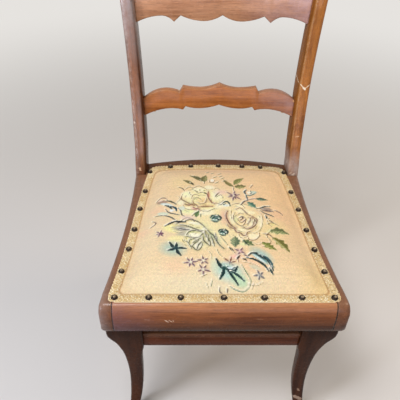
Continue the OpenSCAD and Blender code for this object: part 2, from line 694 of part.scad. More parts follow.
// Decorative nails, spaced by hand as on the chair
nail_inset = gimp_w * 0.55;
rear_nail_inset = gimp_w * 0.4;
front_nail_shares = [-1, -0.69, -0.4, -0.01, 0.36, 0.7, 1];
side_nail_shares = [0.19, 0.345, 0.495, 0.665, 0.825];
rear_nail_shares = [-0.66, -0.37, 0.02, 0.36, 0.62];
corner_nail_shares = [0.945, 0.15];
nail_front_x = seat_front_w / 2 - side_margin * 2;
side_nails = [for (s = side_nail_shares) let (y = cover_front + s * (joint_y - cover_front))
    [cover_side(y) - nail_inset, y]];
end_nails = concat(
    [for (s = front_nail_shares) [s * nail_front_x, cover_front + nail_inset]],
    [for (s = rear_nail_shares) let (x = s * post_in) [x, cover_rear(x) - rear_nail_inset]],
    [for (s = [-1, 1])
        [s * corner_nail_shares[0] * post_in, joint_y + corner_nail_shares[1] * rear_rail_d]]);
nail_z = seat_h + cover_t + gimp_t;

module nail_shanks(gap)
    for (p = side_nails) rod([p[0], p[1], nail_z - nail_l], "z", nail_shank_d / 2 + gap, nail_l + gap);
module all_nail_shanks(gap) {
    for (side = [-1, 1]) on_side(side) nail_shanks(gap);
    for (p = end_nails) rod([p[0], p[1], nail_z - nail_l], "z", nail_shank_d / 2 + gap, nail_l + gap);
}
// Domed head: the part of a ball that stands above the gimp
module nail_head() {
    ball_r = (pow(nail_head_d / 2, 2) + pow(nail_head_h, 2)) / (2 * nail_head_h);
    intersection() {
        translate([0, 0, nail_head_h - ball_r]) sphere(r = ball_r, $fn = 48);
        cylinder(r = nail_head_d, h = nail_head_h + over, $fn = 48);
    }
}
module decorative_nails() color(bronze) {
    all_nail_shanks(0);
    for (side = [-1, 1]) on_side(side)
        for (p = side_nails) translate([p[0], p[1], nail_z]) nail_head();
    for (p = end_nails) translate([p[0], p[1], nail_z]) nail_head();
}

// Dowels, one node for each joint
module crest_rail_dowels() color(beech)
    for (side = [-1, 1]) on_side(side) slat_bores(crest_dowel_z, end_gap, 0);
module mid_rail_dowels() color(beech)
    for (side = [-1, 1]) on_side(side) slat_bores(mid_dowel_z, end_gap, 0);
module rear_rail_dowels() color(beech)
    for (side = [-1, 1]) on_side(side) rear_rail_bores(0, end_gap);
module side_rail_dowels() color(beech)
    for (side = [-1, 1]) on_side(side) side_rail_bores(0, end_gap);
module front_rail_dowels() color(beech)
    for (side = [-1, 1]) on_side(side) front_rail_bores(0, end_gap);
module leg_dowels() color(beech)
    for (side = [-1, 1]) on_side(side) leg_bores(0, end_gap);
module lower_rail_dowels() color(beech)
    for (side = [-1, 1]) on_side(side) apron_bores(0, end_gap);

rear_post(-1);  // rear_post_left
rear_post(1);  // rear_post_right
crest_rail();
mid_rail();
rear_seat_rail();
side_rail(-1);  // side_rail_left
side_rail(1);  // side_rail_right
front_rail();
lower_front_rail();
front_leg(-1);  // front_leg_left
front_leg(1);  // front_leg_right
corner_block(-1, rail_back_y, 1);  // corner_block_front_left
corner_block(1, rail_back_y, 1);  // corner_block_front_right
corner_block(-1, joint_y, -1);  // corner_block_rear_left
corner_block(1, joint_y, -1);  // corner_block_rear_right
corner_block_screws();
crest_rail_dowels();
mid_rail_dowels();
rear_rail_dowels();
side_rail_dowels();
front_rail_dowels();
leg_dowels();
lower_rail_dowels();
webbing_front_to_back();
webbing_side_to_side();
webbing_tacks();
hessian_sheet();
seat_stuffing();
needlepoint_cover();
gimp_braid();
decorative_nails();
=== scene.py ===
# %% [markdown]
# # A mahogany side chair with a needlepoint seat
# The chair's wood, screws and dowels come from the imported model, already in place and in metres. This
# lesson gives them their finish, and makes the soft things by hand: the stuffing, the needlepoint
# cover with its roses, the gimp braid, the domed nails, the webbing and the hessian. Left and right
# are as seen from the front.

# %% Load the frame
import math
import bmesh
import bpy
import numpy as np
from mathutils import Matrix, Vector
from mathutils.bvhtree import BVHTree
from mathutils.kdtree import KDTree


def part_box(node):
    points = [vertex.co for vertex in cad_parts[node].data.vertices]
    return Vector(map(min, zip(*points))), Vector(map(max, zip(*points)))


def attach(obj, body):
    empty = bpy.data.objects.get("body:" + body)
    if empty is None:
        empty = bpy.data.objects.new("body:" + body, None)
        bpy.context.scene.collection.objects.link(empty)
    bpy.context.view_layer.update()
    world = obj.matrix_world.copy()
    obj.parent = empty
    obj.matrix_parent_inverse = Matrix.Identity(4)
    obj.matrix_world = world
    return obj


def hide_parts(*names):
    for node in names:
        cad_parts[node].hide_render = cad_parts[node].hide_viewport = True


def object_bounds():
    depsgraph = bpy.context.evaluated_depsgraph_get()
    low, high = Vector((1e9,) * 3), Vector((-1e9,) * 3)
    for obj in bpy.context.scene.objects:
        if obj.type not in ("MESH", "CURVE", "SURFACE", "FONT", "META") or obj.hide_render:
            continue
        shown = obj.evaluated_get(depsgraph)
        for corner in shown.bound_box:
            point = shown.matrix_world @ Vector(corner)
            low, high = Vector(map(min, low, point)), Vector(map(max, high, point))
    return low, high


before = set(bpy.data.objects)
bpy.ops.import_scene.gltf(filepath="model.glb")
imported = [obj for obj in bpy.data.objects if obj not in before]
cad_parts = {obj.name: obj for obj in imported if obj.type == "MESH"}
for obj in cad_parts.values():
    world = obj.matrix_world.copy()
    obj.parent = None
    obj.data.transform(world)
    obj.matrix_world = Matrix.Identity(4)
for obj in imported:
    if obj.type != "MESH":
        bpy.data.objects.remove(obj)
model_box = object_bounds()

MM = 0.001
print("nodes in the model:", len(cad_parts))

# %% [markdown]
# ## Small helpers
# Every colour is written as a hex value, as a paint chart gives it, and one function turns it to the
# linear numbers that Blender mixes with. One more adds a node to a tree, fills its inputs and gives
# the output that is wanted, and a table holds short names for the nodes that are used most. A
# pattern's scale is a number of repeats per metre, so `repeats` turns a real size in millimetres
# into it.

# %% Helpers
def srgb(hex_colour):
    """A hex colour's red, green and blue, each from 0 to 1."""
    return np.array([int(hex_colour[i:i + 2], 16) / 255 for i in (1, 3, 5)])


def to_linear(parts):
    """The same parts as Blender mixes them."""
    return np.where(parts <= 0.04045, parts / 12.92, ((parts + 0.055) / 1.055) ** 2.4)


def linear(hex_colour, alpha=True):
    """A hex colour as linear numbers."""
    made = to_linear(srgb(hex_colour)).tolist()
    return made + [1.0] if alpha else made


# The nodes used most, by a short name: the kind of node, its settings, the inputs that values fill in
# turn, and the output that is used. Any other node goes by its full name.
SUMS = ("ADD", "SUBTRACT", "MULTIPLY", "MULTIPLY_ADD", "MINIMUM", "MAXIMUM", "ABSOLUTE", "SINE", "COSINE")
USUAL = {
    **{how: ("ShaderNodeMath", {"operation": how}, (0, 1, 2), 0) for how in SUMS},
    **{axis: ("ShaderNodeSeparateXYZ", {}, (0,), axis) for axis in "XYZ"},
    "dot": ("ShaderNodeVectorMath", {"operation": "DOT_PRODUCT"}, (0, 1), "Value"),
    "distance": ("ShaderNodeVectorMath", {"operation": "DISTANCE"}, (0, 1), "Value"),
    "scaled": ("ShaderNodeVectorMath", {"operation": "SCALE"}, (0, "Scale"), 0),
    "noise": ("ShaderNodeTexNoise", {}, ("Vector", "Scale", "Detail", "Roughness", "Distortion"), 0),
    "range": ("ShaderNodeMapRange", {}, (0, 1, 2, 3, 4), 0),
    "mix": ("ShaderNodeMix", {"data_type": "RGBA"}, (0, 6, 7), 2),
    "tint": ("ShaderNodeMix", {"data_type": "RGBA", "blend_type": "MULTIPLY"}, (0, 6, 7), 2),
    "bump": ("ShaderNodeBump", {}, ("Height", "Distance", "Strength", "Normal"), 0),
}


def fill(tree, node, inputs):
    """Fills a node's inputs with values or with other nodes' outputs."""
    for key, value in inputs.items():
        if isinstance(value, bpy.types.NodeSocket):
            tree.links.new(value, node.inputs[key])
        else:
            node.inputs[key].default_value = value


def add(tree, kind, *values, out=None, **settings):
    """Adds a node with its settings, fills its inputs, and gives one of its outputs.

    Values fill the inputs in turn, or one dictionary says which input each value fills.
    """
    kind, preset, places, usual_out = USUAL.get(kind, (kind, {}, (0, 1, 2), 0))
    made = tree.nodes.new(kind)
    for key, value in {**preset, **settings}.items():
        setattr(made, key, value)
    named = values and isinstance(values[0], dict)
    fill(tree, made, values[0] if named else dict(zip(places, values)))
    return made.outputs[usual_out if out is None else out]


def repeats(size_mm):
    """Repeats per metre of a pattern whose parts are this big."""
    return 1 / (size_mm * MM)


def new_finish(name):
    """An empty material with its tree, its shader and the place on the piece."""
    made = bpy.data.materials.new(name)
    made.use_nodes = True
    tree = made.node_tree
    return made, tree, tree.nodes["Principled BSDF"], add(tree, "ShaderNodeTexCoord", out="Object")


def new_growth(name, **inputs):
    """An empty Geometry Nodes tree with named inputs of given kinds, and those inputs to use."""
    tree = bpy.data.node_groups.new(name, "GeometryNodeTree")
    for label, kind in inputs.items():
        tree.interface.new_socket(label.replace("_", " "), in_out="INPUT", socket_type="NodeSocket" + kind)
    tree.interface.new_socket("Geometry", in_out="OUTPUT", socket_type="NodeSocketGeometry")
    return tree, tree.nodes.new("NodeGroupInput").outputs


def ended(tree, geometry):
    """Sends a Geometry Nodes tree's shape out of it."""
    fill(tree, tree.nodes.new("NodeGroupOutput"), {0: geometry})
    return tree


def plain_mesh(name, points, faces, material=None, edges=()):
    """A smooth piece at the origin from points in metres and faces."""
    mesh = bpy.data.meshes.new(name)
    mesh.from_pydata([tuple(p) for p in points], edges, [tuple(f) for f in faces])
    mesh.update()
    piece = bpy.data.objects.new(name, mesh)
    bpy.context.scene.collection.objects.link(piece)
    if material is not None:
        mesh.materials.append(material)
    mesh.polygons.foreach_set("use_smooth", [True] * len(mesh.polygons))
    return piece


def flatten(piece):
    """Turns a piece with modifiers into a plain mesh."""
    bpy.context.view_layer.update()
    seen_now = piece.evaluated_get(bpy.context.evaluated_depsgraph_get())
    mesh = bpy.data.meshes.new_from_object(seen_now)
    piece.modifiers.clear()
    old, piece.data = piece.data, mesh
    bpy.data.meshes.remove(old)


def thickened(piece, thickness):
    """Gives a sheet its thickness, down from its upper face, as a plain mesh."""
    thick = piece.modifiers.new("thickness", "SOLIDIFY")
    thick.thickness = thickness
    thick.offset = -1
    flatten(piece)


def welded(node):
    """A CAD node's mesh as a bmesh, with its loose triangles joined up."""
    bm = bmesh.new()
    bm.from_mesh(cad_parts[node].data)
    bmesh.ops.remove_doubles(bm, verts=bm.verts, dist=0.01 * MM)
    return bm


# %% [markdown]
# ## The camera
# The photograph was taken by someone who stood close in front of the chair, a little to its left, and
# looked down at the seat. The camera stands at that eye, 1.18 m above the floor, and looks down by
# about 40 degrees with a lens of 45 mm.

# %% Camera
EYE = Vector((-68, -814, 1180)) * MM
LOOK_RIGHT = math.radians(1.63)
LOOK_DOWN = math.radians(40.57)
TILT = math.radians(1.40)
forward = Vector((math.sin(LOOK_RIGHT) * math.cos(LOOK_DOWN),
                  math.cos(LOOK_RIGHT) * math.cos(LOOK_DOWN), -math.sin(LOOK_DOWN)))
level_right = Vector((math.cos(LOOK_RIGHT), -math.sin(LOOK_RIGHT), 0))
level_up = level_right.cross(forward)
right = math.cos(TILT) * level_right + math.sin(TILT) * level_up
up = math.cos(TILT) * level_up - math.sin(TILT) * level_right
camera_data = bpy.data.cameras.new("camera")
camera_data.lens = 45
camera = bpy.data.objects.new("camera", camera_data)
camera.matrix_world = Matrix.Translation(EYE) @ Matrix((right, up, -forward)).transposed().to_4x4()
bpy.context.scene.collection.objects.link(camera)
bpy.context.scene.camera = camera
print("camera at", [round(c, 3) for c in EYE])

# %% [markdown]
# ## Floor and light
# The chair stands on a plain pale floor, which glows as the backdrop does where it is far off, so
# that no horizon shows. A soft lamp overhead, a little in front and to the left, lights the seat. A
# tall lamp low on the left and a wide one far in front stand for windows and put the long sheen on
# the varnish. A warm lamp fills from the right, and the pale world fills the shadows a little.

# %% Floor, lamps and world
BACKDROP = "#E6E3DF"
FLOOR_HALF = 20
GLOW_FROM = 0.6
GLOW_FULL = 2.6
WORLD_LIGHT = 0.28


def seen_directly(tree):
    """1 for what the camera, a reflection or glass shows, and 0 for light that falls on things."""
    paths = tree.nodes.new("ShaderNodeLightPath").outputs
    shown = paths["Is Camera Ray"]
    for kind in ("Is Glossy Ray", "Is Transmission Ray"):
        shown = add(tree, "MAXIMUM", shown, paths[kind])
    return shown


def pale_floor():
    """Matt pale paper that turns into the backdrop's glow far off."""
    made, tree, shader, place = new_finish("pale_floor")
    fill(tree, shader, {"Base Color": linear("#DAD7D2"), "Roughness": 0.9})
    away = add(tree, "distance", place, (0, 0, 0))
    far_off = add(tree, "range", away, GLOW_FROM, GLOW_FULL, interpolation_type="SMOOTHSTEP")
    glow = add(tree, "ShaderNodeEmission", linear(BACKDROP))
    share = add(tree, "MULTIPLY", far_off, seen_directly(tree))
    fill(tree, tree.nodes["Material Output"], {
        "Surface": add(tree, "ShaderNodeMixShader", share, shader.outputs[0], glow)})
    return made


corners = [(x * FLOOR_HALF, y * FLOOR_HALF, 0) for x, y in ((-1, -1), (1, -1), (1, 1), (-1, 1))]
floor = plain_mesh("floor", corners, [(0, 1, 2, 3)], pale_floor())


def lamp(name, place, target, size, watts, colour):
    """A soft lamp, so wide and so high, that looks at a point."""
    data = bpy.data.lights.new(name, "AREA")
    data.shape = "RECTANGLE"
    data.size, data.size_y = size
    data.energy = watts
    data.color = linear(colour, alpha=False)
    made = bpy.data.objects.new(name, data)
    aim = (Vector(target) - Vector(place)).to_track_quat("-Z", "Y")
    made.matrix_world = Matrix.Translation(Vector(place)) @ aim.to_matrix().to_4x4()
    bpy.context.scene.collection.objects.link(made)


lamp("key_lamp", (-0.65, -0.7, 2.5), (0, -0.02, 0.45), (0.8, 0.8), 38, "#FBFAFF")
lamp("window_lamp", (-1.6, -1.2, 0.62), (0, 0.1, 0.6), (0.4, 1.0), 20, "#E9EFFF")
lamp("warm_lamp", (1.7, 0.1, 1.9), (0, 0.1, 0.5), (0.8, 0.8), 18, "#FFEBD2")
lamp("far_window_lamp", (0.3, -2.6, 0.85), (0, 0.1, 0.6), (1.5, 1.4), 14, "#E4E8FF")
world = bpy.data.worlds.new("world")
bpy.context.scene.world = world
world.use_nodes = True
fill(world.node_tree, world.node_tree.nodes["Background"], {
    "Color": linear(BACKDROP),
    "Strength": add(world.node_tree, "range", seen_directly(world.node_tree), 0, 1, WORLD_LIGHT, 1.0)})
bpy.context.scene.view_settings.view_transform = "Standard"
print("lamps:", len(bpy.data.lights))

# %% [markdown]
# ## Varnished mahogany
# Mahogany has straight grain in ribbons of lighter and darker brown, short open pores, and here an
# old satin varnish that has gone amber where it is thick and pale where edges have been knocked.
# Light and shade are painted into its colour too: faces that look up are paler, partly bleached and
# partly as painted light; faces that look down, and some parts towards one end of their height, are
# darker as painted shade; edges carry a painted highlight over their wear; and window reflections are
# painted on in places. The pattern is cut from the solid: noise on the piece's own coordinates, drawn
# out along the board. The pores are 0.3 mm wide on the real wood and are drawn at 0.8 mm so that they
# show.

# %% Mahogany
ALONG_GRAIN = 0.055
COAT_SHARE = 0.6
SEAM_HALF = 0.7
SEAM_FADE = 1.6


def scuffed(tree, place, wood, start, end, radius, hex_colour, strength=0.85):
    """A knock or scratch: a ragged mark round the line between two places in millimetres."""
    a, run = Vector(start) * MM, (Vector(end) - Vector(start)) * MM
    off = add(tree, "ShaderNodeVectorMath", place, a, operation="SUBTRACT")
    along = add(tree, "range", add(tree, "dot", off, run / run.length_squared), 0, 1)
    away = add(tree, "distance", off, add(tree, "scaled", run, along))
    ragged = add(tree, "noise", place, repeats(radius * 0.9), 3, 0.7)
    reach = add(tree, "range", ragged, 0.3, 0.7, radius * 0.3 * MM, radius * 1.3 * MM)
    inside = add(tree, "SUBTRACT", reach, away)
    mark = add(tree, "range", inside, 0, 0.5 * MM, 0, strength)
    return add(tree, "mix", mark, wood, linear(hex_colour))


def seamed(tree, place, patchy, wood, joint):
    """Dirt in the joint between the front rail and each side rail's nose."""
    wobble = add(tree, "range", patchy, 0, 1, -0.8 * MM, 0.8 * MM)
    outer = add(tree, "ADD", add(tree, "ABSOLUTE", add(tree, "X", place)), wobble)
    gap = add(tree, "ABSOLUTE", add(tree, "SUBTRACT", outer, joint))
    at_front = add(tree, "range", add(tree, "Y", place), -206 * MM, -214 * MM)
    near = add(tree, "range", gap, SEAM_FADE * MM, SEAM_HALF * MM, 0, 0.92)
    return add(tree, "mix", add(tree, "MULTIPLY", near, at_front), wood, linear("#170B06"))


def painted_reflection(tree, place, patchy, wood, axis, clear, full_at, last, hex_colour, strength):
    """A painted reflection of a window on the varnish: it comes on between two places along an axis, in
    millimetres, and fades as fast after the last.
    """
    how_far = add(tree, axis, place)
    coming = add(tree, "range", how_far, clear * MM, full_at * MM, 0, strength)
    fading = add(tree, "range", how_far, last * MM, (last + full_at - clear) * MM, 1, 0)
    reflection_share = add(tree, "MULTIPLY", coming, add(tree, "range", patchy, 0.3, 0.6, 0.5, 1.0))
    return add(tree, "mix", add(tree, "MULTIPLY", reflection_share, fading), wood, linear(hex_colour))


def varnished_mahogany(name, deep, warm, grain, satin=0.22, worn_and_highlit="#B58A66", wear=0.7, bleached_and_lit="#C99A72",
                       bleach_and_light=0.35, shade_below=0.5, shine=0.45, round_mm=5, inner=None,
                       arris_painted_light="#1E0E07", window_reflection=None, joint=None, heights=None, marks=()):
    """One board's finish: its grain first, and then painted light and shade, dirt in the joint, wear,
    painted reflections and knocks over it.
    """
    made, tree, shader, place = new_finish(name)
    drawn_out = [ALONG_GRAIN if axis == grain else 1.0 for axis in "xyz"]
    along = add(tree, "ShaderNodeMapping", {"Vector": place, "Scale": drawn_out})
    fibres = add(tree, "noise", along, repeats(1.6), 3, 0.6)
    pores = add(tree, "range", add(tree, "noise", along, repeats(0.8), 1), 0.58, 0.68, 0.0, 0.4)
    patchy = add(tree, "noise", place, repeats(14), 4, 0.65)
    straight = add(tree, "ShaderNodeNewGeometry", out="Normal")
    level = add(tree, "Z", straight)
    rounded = add(tree, "ShaderNodeBevel", round_mm * MM, samples=6)
    ribbons = add(tree, "noise", along, repeats(11), 4, 0.62, 0.35)
    clouds = add(tree, "noise", place, repeats(70), 3, 0.55)
    wood = add(tree, "mix", add(tree, "range", ribbons, 0.32, 0.68), linear(deep), linear(warm))
    wood = add(tree, "mix", add(tree, "range", clouds, 0.35, 0.68, 0.0, 0.5), wood, linear(warm))
    # Faces that look up are paler, partly bleached by the sun and partly as painted light.
    wood = add(tree, "mix", add(tree, "range", level, 0.15, 0.95, 0, bleach_and_light), wood, linear(bleached_and_lit))
    # Painted shade by height: the part is darker towards one end of the given span of heights, as the
    # light falls on it.
    if heights:
        low, high, dark = heights
        shade = add(tree, "range", add(tree, "Z", place), low * MM, high * MM, dark, 1.0)
        wood = add(tree, "tint", 1.0, wood, shade)
    # Faces that look down are darker, as painted shade.
    wood = add(tree, "tint", 1.0, wood, add(tree, "range", level, -0.75, 0.1, shade_below, 1.0))
    wood = add(tree, "tint", 1.0, wood, add(tree, "range", fibres, 0.38, 0.66, 0.8, 1.1))
    wood = add(tree, "mix", pores, wood, linear("#2A140B"))
    gloss = add(tree, "range", level, -0.5, 0.1, shine * 0.1, shine)
    # Edges are paler, partly from wear and partly as a painted highlight, and most where they turn up
    # towards the light.
    edge = add(tree, "range", add(tree, "dot", rounded, straight), 0.985, 0.90)
    rubbed = add(tree, "MAXIMUM", add(tree, "range", patchy, 0.46, 0.66, 0.0, wear),
                 add(tree, "range", add(tree, "Z", rounded), 0.2, 0.6, 0, 0.5))
    edge_wear_and_highlight = add(tree, "MULTIPLY", edge, rubbed)
    # Painted light on the posts' inner side: faces that look inward are darker, as painted shade, and the
    # arris beside them carries a painted line, shade on the left post and a highlight on the right one.
    if inner:
        inner_way = add(tree, "dot", straight, (inner, 0, 0))
        inner_turn = add(tree, "dot", rounded, (inner, 0, 0))
        edge_wear_and_highlight = add(tree, "MULTIPLY", edge_wear_and_highlight, add(tree, "range", inner_turn, 0.2, 0.05))
        wood = add(tree, "tint", 1.0, wood, add(tree, "range", inner_way, 0.5, 0.9, 1.0, 0.6))
        on_painted_arris = add(tree, "MULTIPLY", add(tree, "range", inner_turn, 0.42, 0.56),
                       add(tree, "range", inner_turn, 0.86, 0.74))
        on_painted_arris = add(tree, "MULTIPLY", on_painted_arris, add(tree, "range", patchy, 0.35, 0.6, 0.3, 1.0))
        wood = add(tree, "mix", on_painted_arris, wood, linear(arris_painted_light))
        gloss = add(tree, "MULTIPLY", gloss, add(tree, "range", inner_way, 0.3, 0.7, 1.0, 0.08))
    wood = add(tree, "mix", edge_wear_and_highlight, wood, linear(worn_and_highlit))
    if joint:
        wood = seamed(tree, place, patchy, wood, joint)
    # Reflections of the windows, painted into the colour.
    if window_reflection:
        wood = painted_reflection(tree, place, patchy, wood, *window_reflection)
    for mark in marks:
        wood = scuffed(tree, place, wood, *mark)
    fill(tree, shader, {
        "Base Color": wood, "Roughness": add(tree, "range", patchy, 0.3, 0.7, satin - 0.07, satin + 0.12),
        "Specular IOR Level": gloss, "Coat Weight": add(tree, "MULTIPLY", gloss, COAT_SHARE),
        "Coat Roughness": 0.12})
    grain = add(tree, "SUBTRACT", fibres, pores)
    relief = add(tree, "MULTIPLY_ADD", add(tree, "noise", place, repeats(3.2)), 2.0, grain)
    fill(tree, shader, {"Normal": add(tree, "bump", relief, 0.07 * MM, 0.8, rounded)})
    return made


# Each mark: [start, end, radius, colour, strength], with places in millimetres in the chair's frame.
KNOCKS = {
    "left_post": (
        ((-197, 182, 563), (-196, 182, 561), 2.2, "#D8C4AC"),
        ((-188, 155, 449), (-187, 155, 444), 3.0, "#D9B48C")),
    "right_post": (
        ((174, 239, 660), (176, 215, 654), 1.3, "#E8D2B0"),
        ((176, 215, 654), (180, 199, 653), 1.4, "#E8D2B0"),
        ((180, 199, 653), (189, 197, 644), 1.8, "#F0DCBC"),
        ((189, 197, 644), (199, 198, 653), 1.5, "#E8D2B0"),
        ((187, 197, 646), (191, 197, 643), 3.0, "#F2E2C6"),
        ((179, 176, 530), (190, 175, 532), 1.3, "#DDB88C"),
        ((188, 154, 437), (186, 154, 434), 3.6, "#E4D2BC"),
        ((180, 154, 440), (178, 154, 438), 2.2, "#D9C0A2")),
    "mid_rail": (
        ((-96, 228, 621), (-92, 228, 619), 2.6, "#DDA872"),
        ((82, 228, 621), (88, 228, 619), 2.6, "#DDA872"),
        ((172, 212, 606), (176, 212, 603), 3.0, "#E0B07C")),
    "front_rail": (
        ((-112, -250, 400), (-106, -250, 395), 1.2, "#E2C8AC"),
        ((-104, -250, 400), (-99, -250, 395), 1.2, "#E2C8AC"),
        ((-97, -250, 400), (-96, -250, 396), 1.0, "#D8B898"),
        ((-150, -250, 402), (-140, -250, 401), 0.8, "#B99A86"),
        ((60, -250, 404), (72, -250, 403), 0.8, "#B98A62"),
        ((-30, -250, 392), (-22, -250, 392), 0.8, "#B98A62")),
    "legs": (
        ((180, -228, 76), (196, -230, 66), 6.0, "#B59A84", 0.6),
        ((184, -225, 104), (188, -226, 98), 3.0, "#A88A72", 0.6),
        ((-186, -230, 60), (-178, -228, 52), 4.0, "#96765E", 0.5)),
}
rail_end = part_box("front_rail")[1].x
# The parts' browns differ partly as the light falls on them: the crest and the right post are lighter, as
# painted light, and the front legs darker, as painted shade.
frame_mahogany = varnished_mahogany(
    "mahogany_side_rails", "#4C2410", "#7E4A2A", "y", shine=0.22, bleached_and_lit="#9A7458", bleach_and_light=0.45,
    joint=rail_end, heights=(370, 415, 0.6), window_reflection=("X", -214, -232, -260, "#A0948E", 0.38))
front_mahogany = varnished_mahogany(
    "mahogany_front_rail", "#5A2810", "#9A5A30", "x", shine=0.14, joint=rail_end, bleached_and_lit="#CE9468",
    bleach_and_light=0.6, shade_below=0.3, heights=(362, 414, 0.2), marks=KNOCKS["front_rail"],
    window_reflection=("X", -110, -225, -300, "#7A5A64", 0.45))
crest_mahogany = varnished_mahogany(
    "mahogany_crest_rail", "#A46A44", "#D69C74", "x", wear=0.5, bleached_and_lit="#E6BC96", bleach_and_light=0.5, shine=0.5,
    window_reflection=("X", 30, 190, 300, "#BFA6B4", 0.42))
mid_mahogany = varnished_mahogany(
    "mahogany_mid_rail", "#7E4016", "#B66E34", "x", wear=0.8, shine=0.2, marks=KNOCKS["mid_rail"],
    window_reflection=("X", 70, 170, 300, "#B4948E", 0.45))
rear_mahogany = varnished_mahogany("mahogany_rear_rail", "#40200C", "#66391C", "x", bleach_and_light=0.05, shine=0.1)
left_mahogany = varnished_mahogany(
    "mahogany_left_post", "#5C3218", "#8E5532", "z", worn_and_highlit="#C4A88C", wear=0.8, satin=0.15, shine=0.75,
    round_mm=15, inner=1, heights=(330, 520, 0.5), marks=KNOCKS["left_post"],
    window_reflection=("Z", 690, 800, 810, "#C4BEBE", 0.4))
right_mahogany = varnished_mahogany(
    "mahogany_right_post", "#78400F", "#BC7630", "z", shine=0.28, round_mm=9, inner=-1, arris_painted_light="#B08458",
    heights=(330, 520, 0.45), marks=KNOCKS["right_post"], window_reflection=("Z", 500, 460, 440, "#B4A49A", 0.75))
leg_mahogany = varnished_mahogany(
    "mahogany_front_legs", "#281108", "#482613", "z", worn_and_highlit="#7E5E48", bleach_and_light=0.1, shine=0.06,
    heights=(365, 290, 0.32), marks=KNOCKS["legs"])
lower_mahogany = varnished_mahogany(
    "mahogany_lower_rail", "#361404", "#642E12", "x", worn_and_highlit="#9C6840", bleach_and_light=0.25, shine=0.1)
print("knocks and scratches:", sum(len(marks) for marks in KNOCKS.values()))

# %% [markdown]
# ## Beech and steel inside the frame
# The blocks and dowels are raw beech: pale, with short darker flecks and no varnish. The screws are
# dull steel, and the webbing's tacks are blued, which leaves a dark, slightly bright skin.

# %% Beech, steel and blued tacks
def raw_beech():
    """Raw planed beech: pale and dry, with short darker flecks and no shine."""
    made, tree, shader, place = new_finish("raw_beech")
    along = add(tree, "ShaderNodeMapping", {"Vector": place, "Scale": [0.08, 1, 1]})
    rings = add(tree, "noise", along, repeats(7), 4, 0.6)
    flecks = add(tree, "noise", along, repeats(1.2))
    wood = add(tree, "mix", add(tree, "range", rings, 0.35, 0.68), linear("#B8935F"), linear("#D3B384"))
    wood = add(tree, "mix", add(tree, "range", flecks, 0.57, 0.68, 0, 0.5), wood, linear("#94703F"))
    fill(tree, shader, {"Base Color": wood, "Roughness": 0.72,
                        "Normal": add(tree, "bump", flecks, 0.05 * MM)})
    return made


def dull_metal(name, low, high, roughness, wear_size):
    """Plain steel: dull, with a skin that is lighter and smoother where it is rubbed."""
    made, tree, shader, place = new_finish(name)
    wear = add(tree, "noise", place, repeats(wear_size), 3)
    fill(tree, shader, {
        "Base Color": add(tree, "mix", add(tree, "range", wear, 0.38, 0.65), linear(low), linear(high)),
        "Roughness": add(tree, "range", wear, 0.3, 0.7, roughness + 0.12, roughness - 0.08),
        "Metallic": 1.0, "Normal": add(tree, "bump", wear, 0.03 * MM)})
    return made


beech = raw_beech()
screw_steel = dull_metal("dull_screw_steel", "#6B6862", "#9A958C", 0.42, 1.5)
blued_steel = dull_metal("blued_tack_steel", "#23252C", "#4B4E58", 0.38, 1.2)

# %% [markdown]
# ## Finishing the wooden parts
# The model's parts are loose triangles, so their rounded edges would look cut with a knife. A short
# Geometry Nodes tree joins the triangles and shades everything smooth but the real corners. It
# stays on each part as a modifier, because a part of the model is never reshaped.

# %% Smooth shading for the model's parts
def smoothing_tree():
    """The tree that joins a part's triangles and keeps only its real corners sharp."""
    tree, start = new_growth("joined_and_smooth", Geometry="Geometry", Corner_Angle="Float")
    tree.interface.items_tree["Corner Angle"].default_value = math.radians(38)
    joined = add(tree, "GeometryNodeMergeByDistance", {
        "Geometry": start["Geometry"], "Distance": 0.01 * MM})
    angle = add(tree, "GeometryNodeInputMeshEdgeAngle", out="Unsigned Angle")
    is_corner = add(tree, "FunctionNodeCompare", angle, start["Corner Angle"], operation="GREATER_THAN")
    faces = add(tree, "GeometryNodeSetShadeSmooth", {"Geometry": joined, "Shade Smooth": True},
                domain="FACE")
    edges = add(tree, "GeometryNodeSetShadeSmooth", {
        "Geometry": faces, "Selection": is_corner, "Shade Smooth": False}, domain="EDGE")
    return ended(tree, edges)


smooth_tree = smoothing_tree()
FINISHES = {
    "rear_post_left": left_mahogany, "rear_post_right": right_mahogany,
    "crest_rail": crest_mahogany, "mid_rail": mid_mahogany, "rear_seat_rail": rear_mahogany,
    "side_rail_left": frame_mahogany, "side_rail_right": frame_mahogany,
    "front_rail": front_mahogany, "lower_front_rail": lower_mahogany,
    "front_leg_left": leg_mahogany, "front_leg_right": leg_mahogany,
    "corner_block_screws": screw_steel, "webbing_tacks": blued_steel,
}
REPLACED = ("webbing_front_to_back", "webbing_side_to_side", "hessian_sheet", "seat_stuffing",
            "needlepoint_cover", "gimp_braid", "decorative_nails")
for node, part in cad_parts.items():
    if node in REPLACED:
        continue
    part.data.materials.clear()
    part.data.materials.append(FINISHES.get(node, beech))
    part.modifiers.new("joined_and_smooth", "NODES").node_group = smooth_tree
print("finished parts:", len(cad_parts) - len(REPLACED))

# %% [markdown]
# ## Outlines from the model
# The braid, the nails and the cover all follow the seat's outline, so it is read from the packed
# braid: the edges round its flat upper face, chained into loops. The longest loop is the outer edge
# and the next is the inner edge.

# %% Loops round a flat upper face
PATH_STEP = 2 * MM
EDGE_ROUNDS = 6


def length_of(loop):
    """The way round a closed loop."""
    return np.linalg.norm(np.roll(loop, -1, 0) - loop, axis=1).sum()


def area_of(loop):
    """A closed loop's area, above 0 when it runs anticlockwise."""
    ahead = np.roll(loop, -1, 0)
    return np.sum(loop[:, 0] * ahead[:, 1] - ahead[:, 0] * loop[:, 1]) / 2


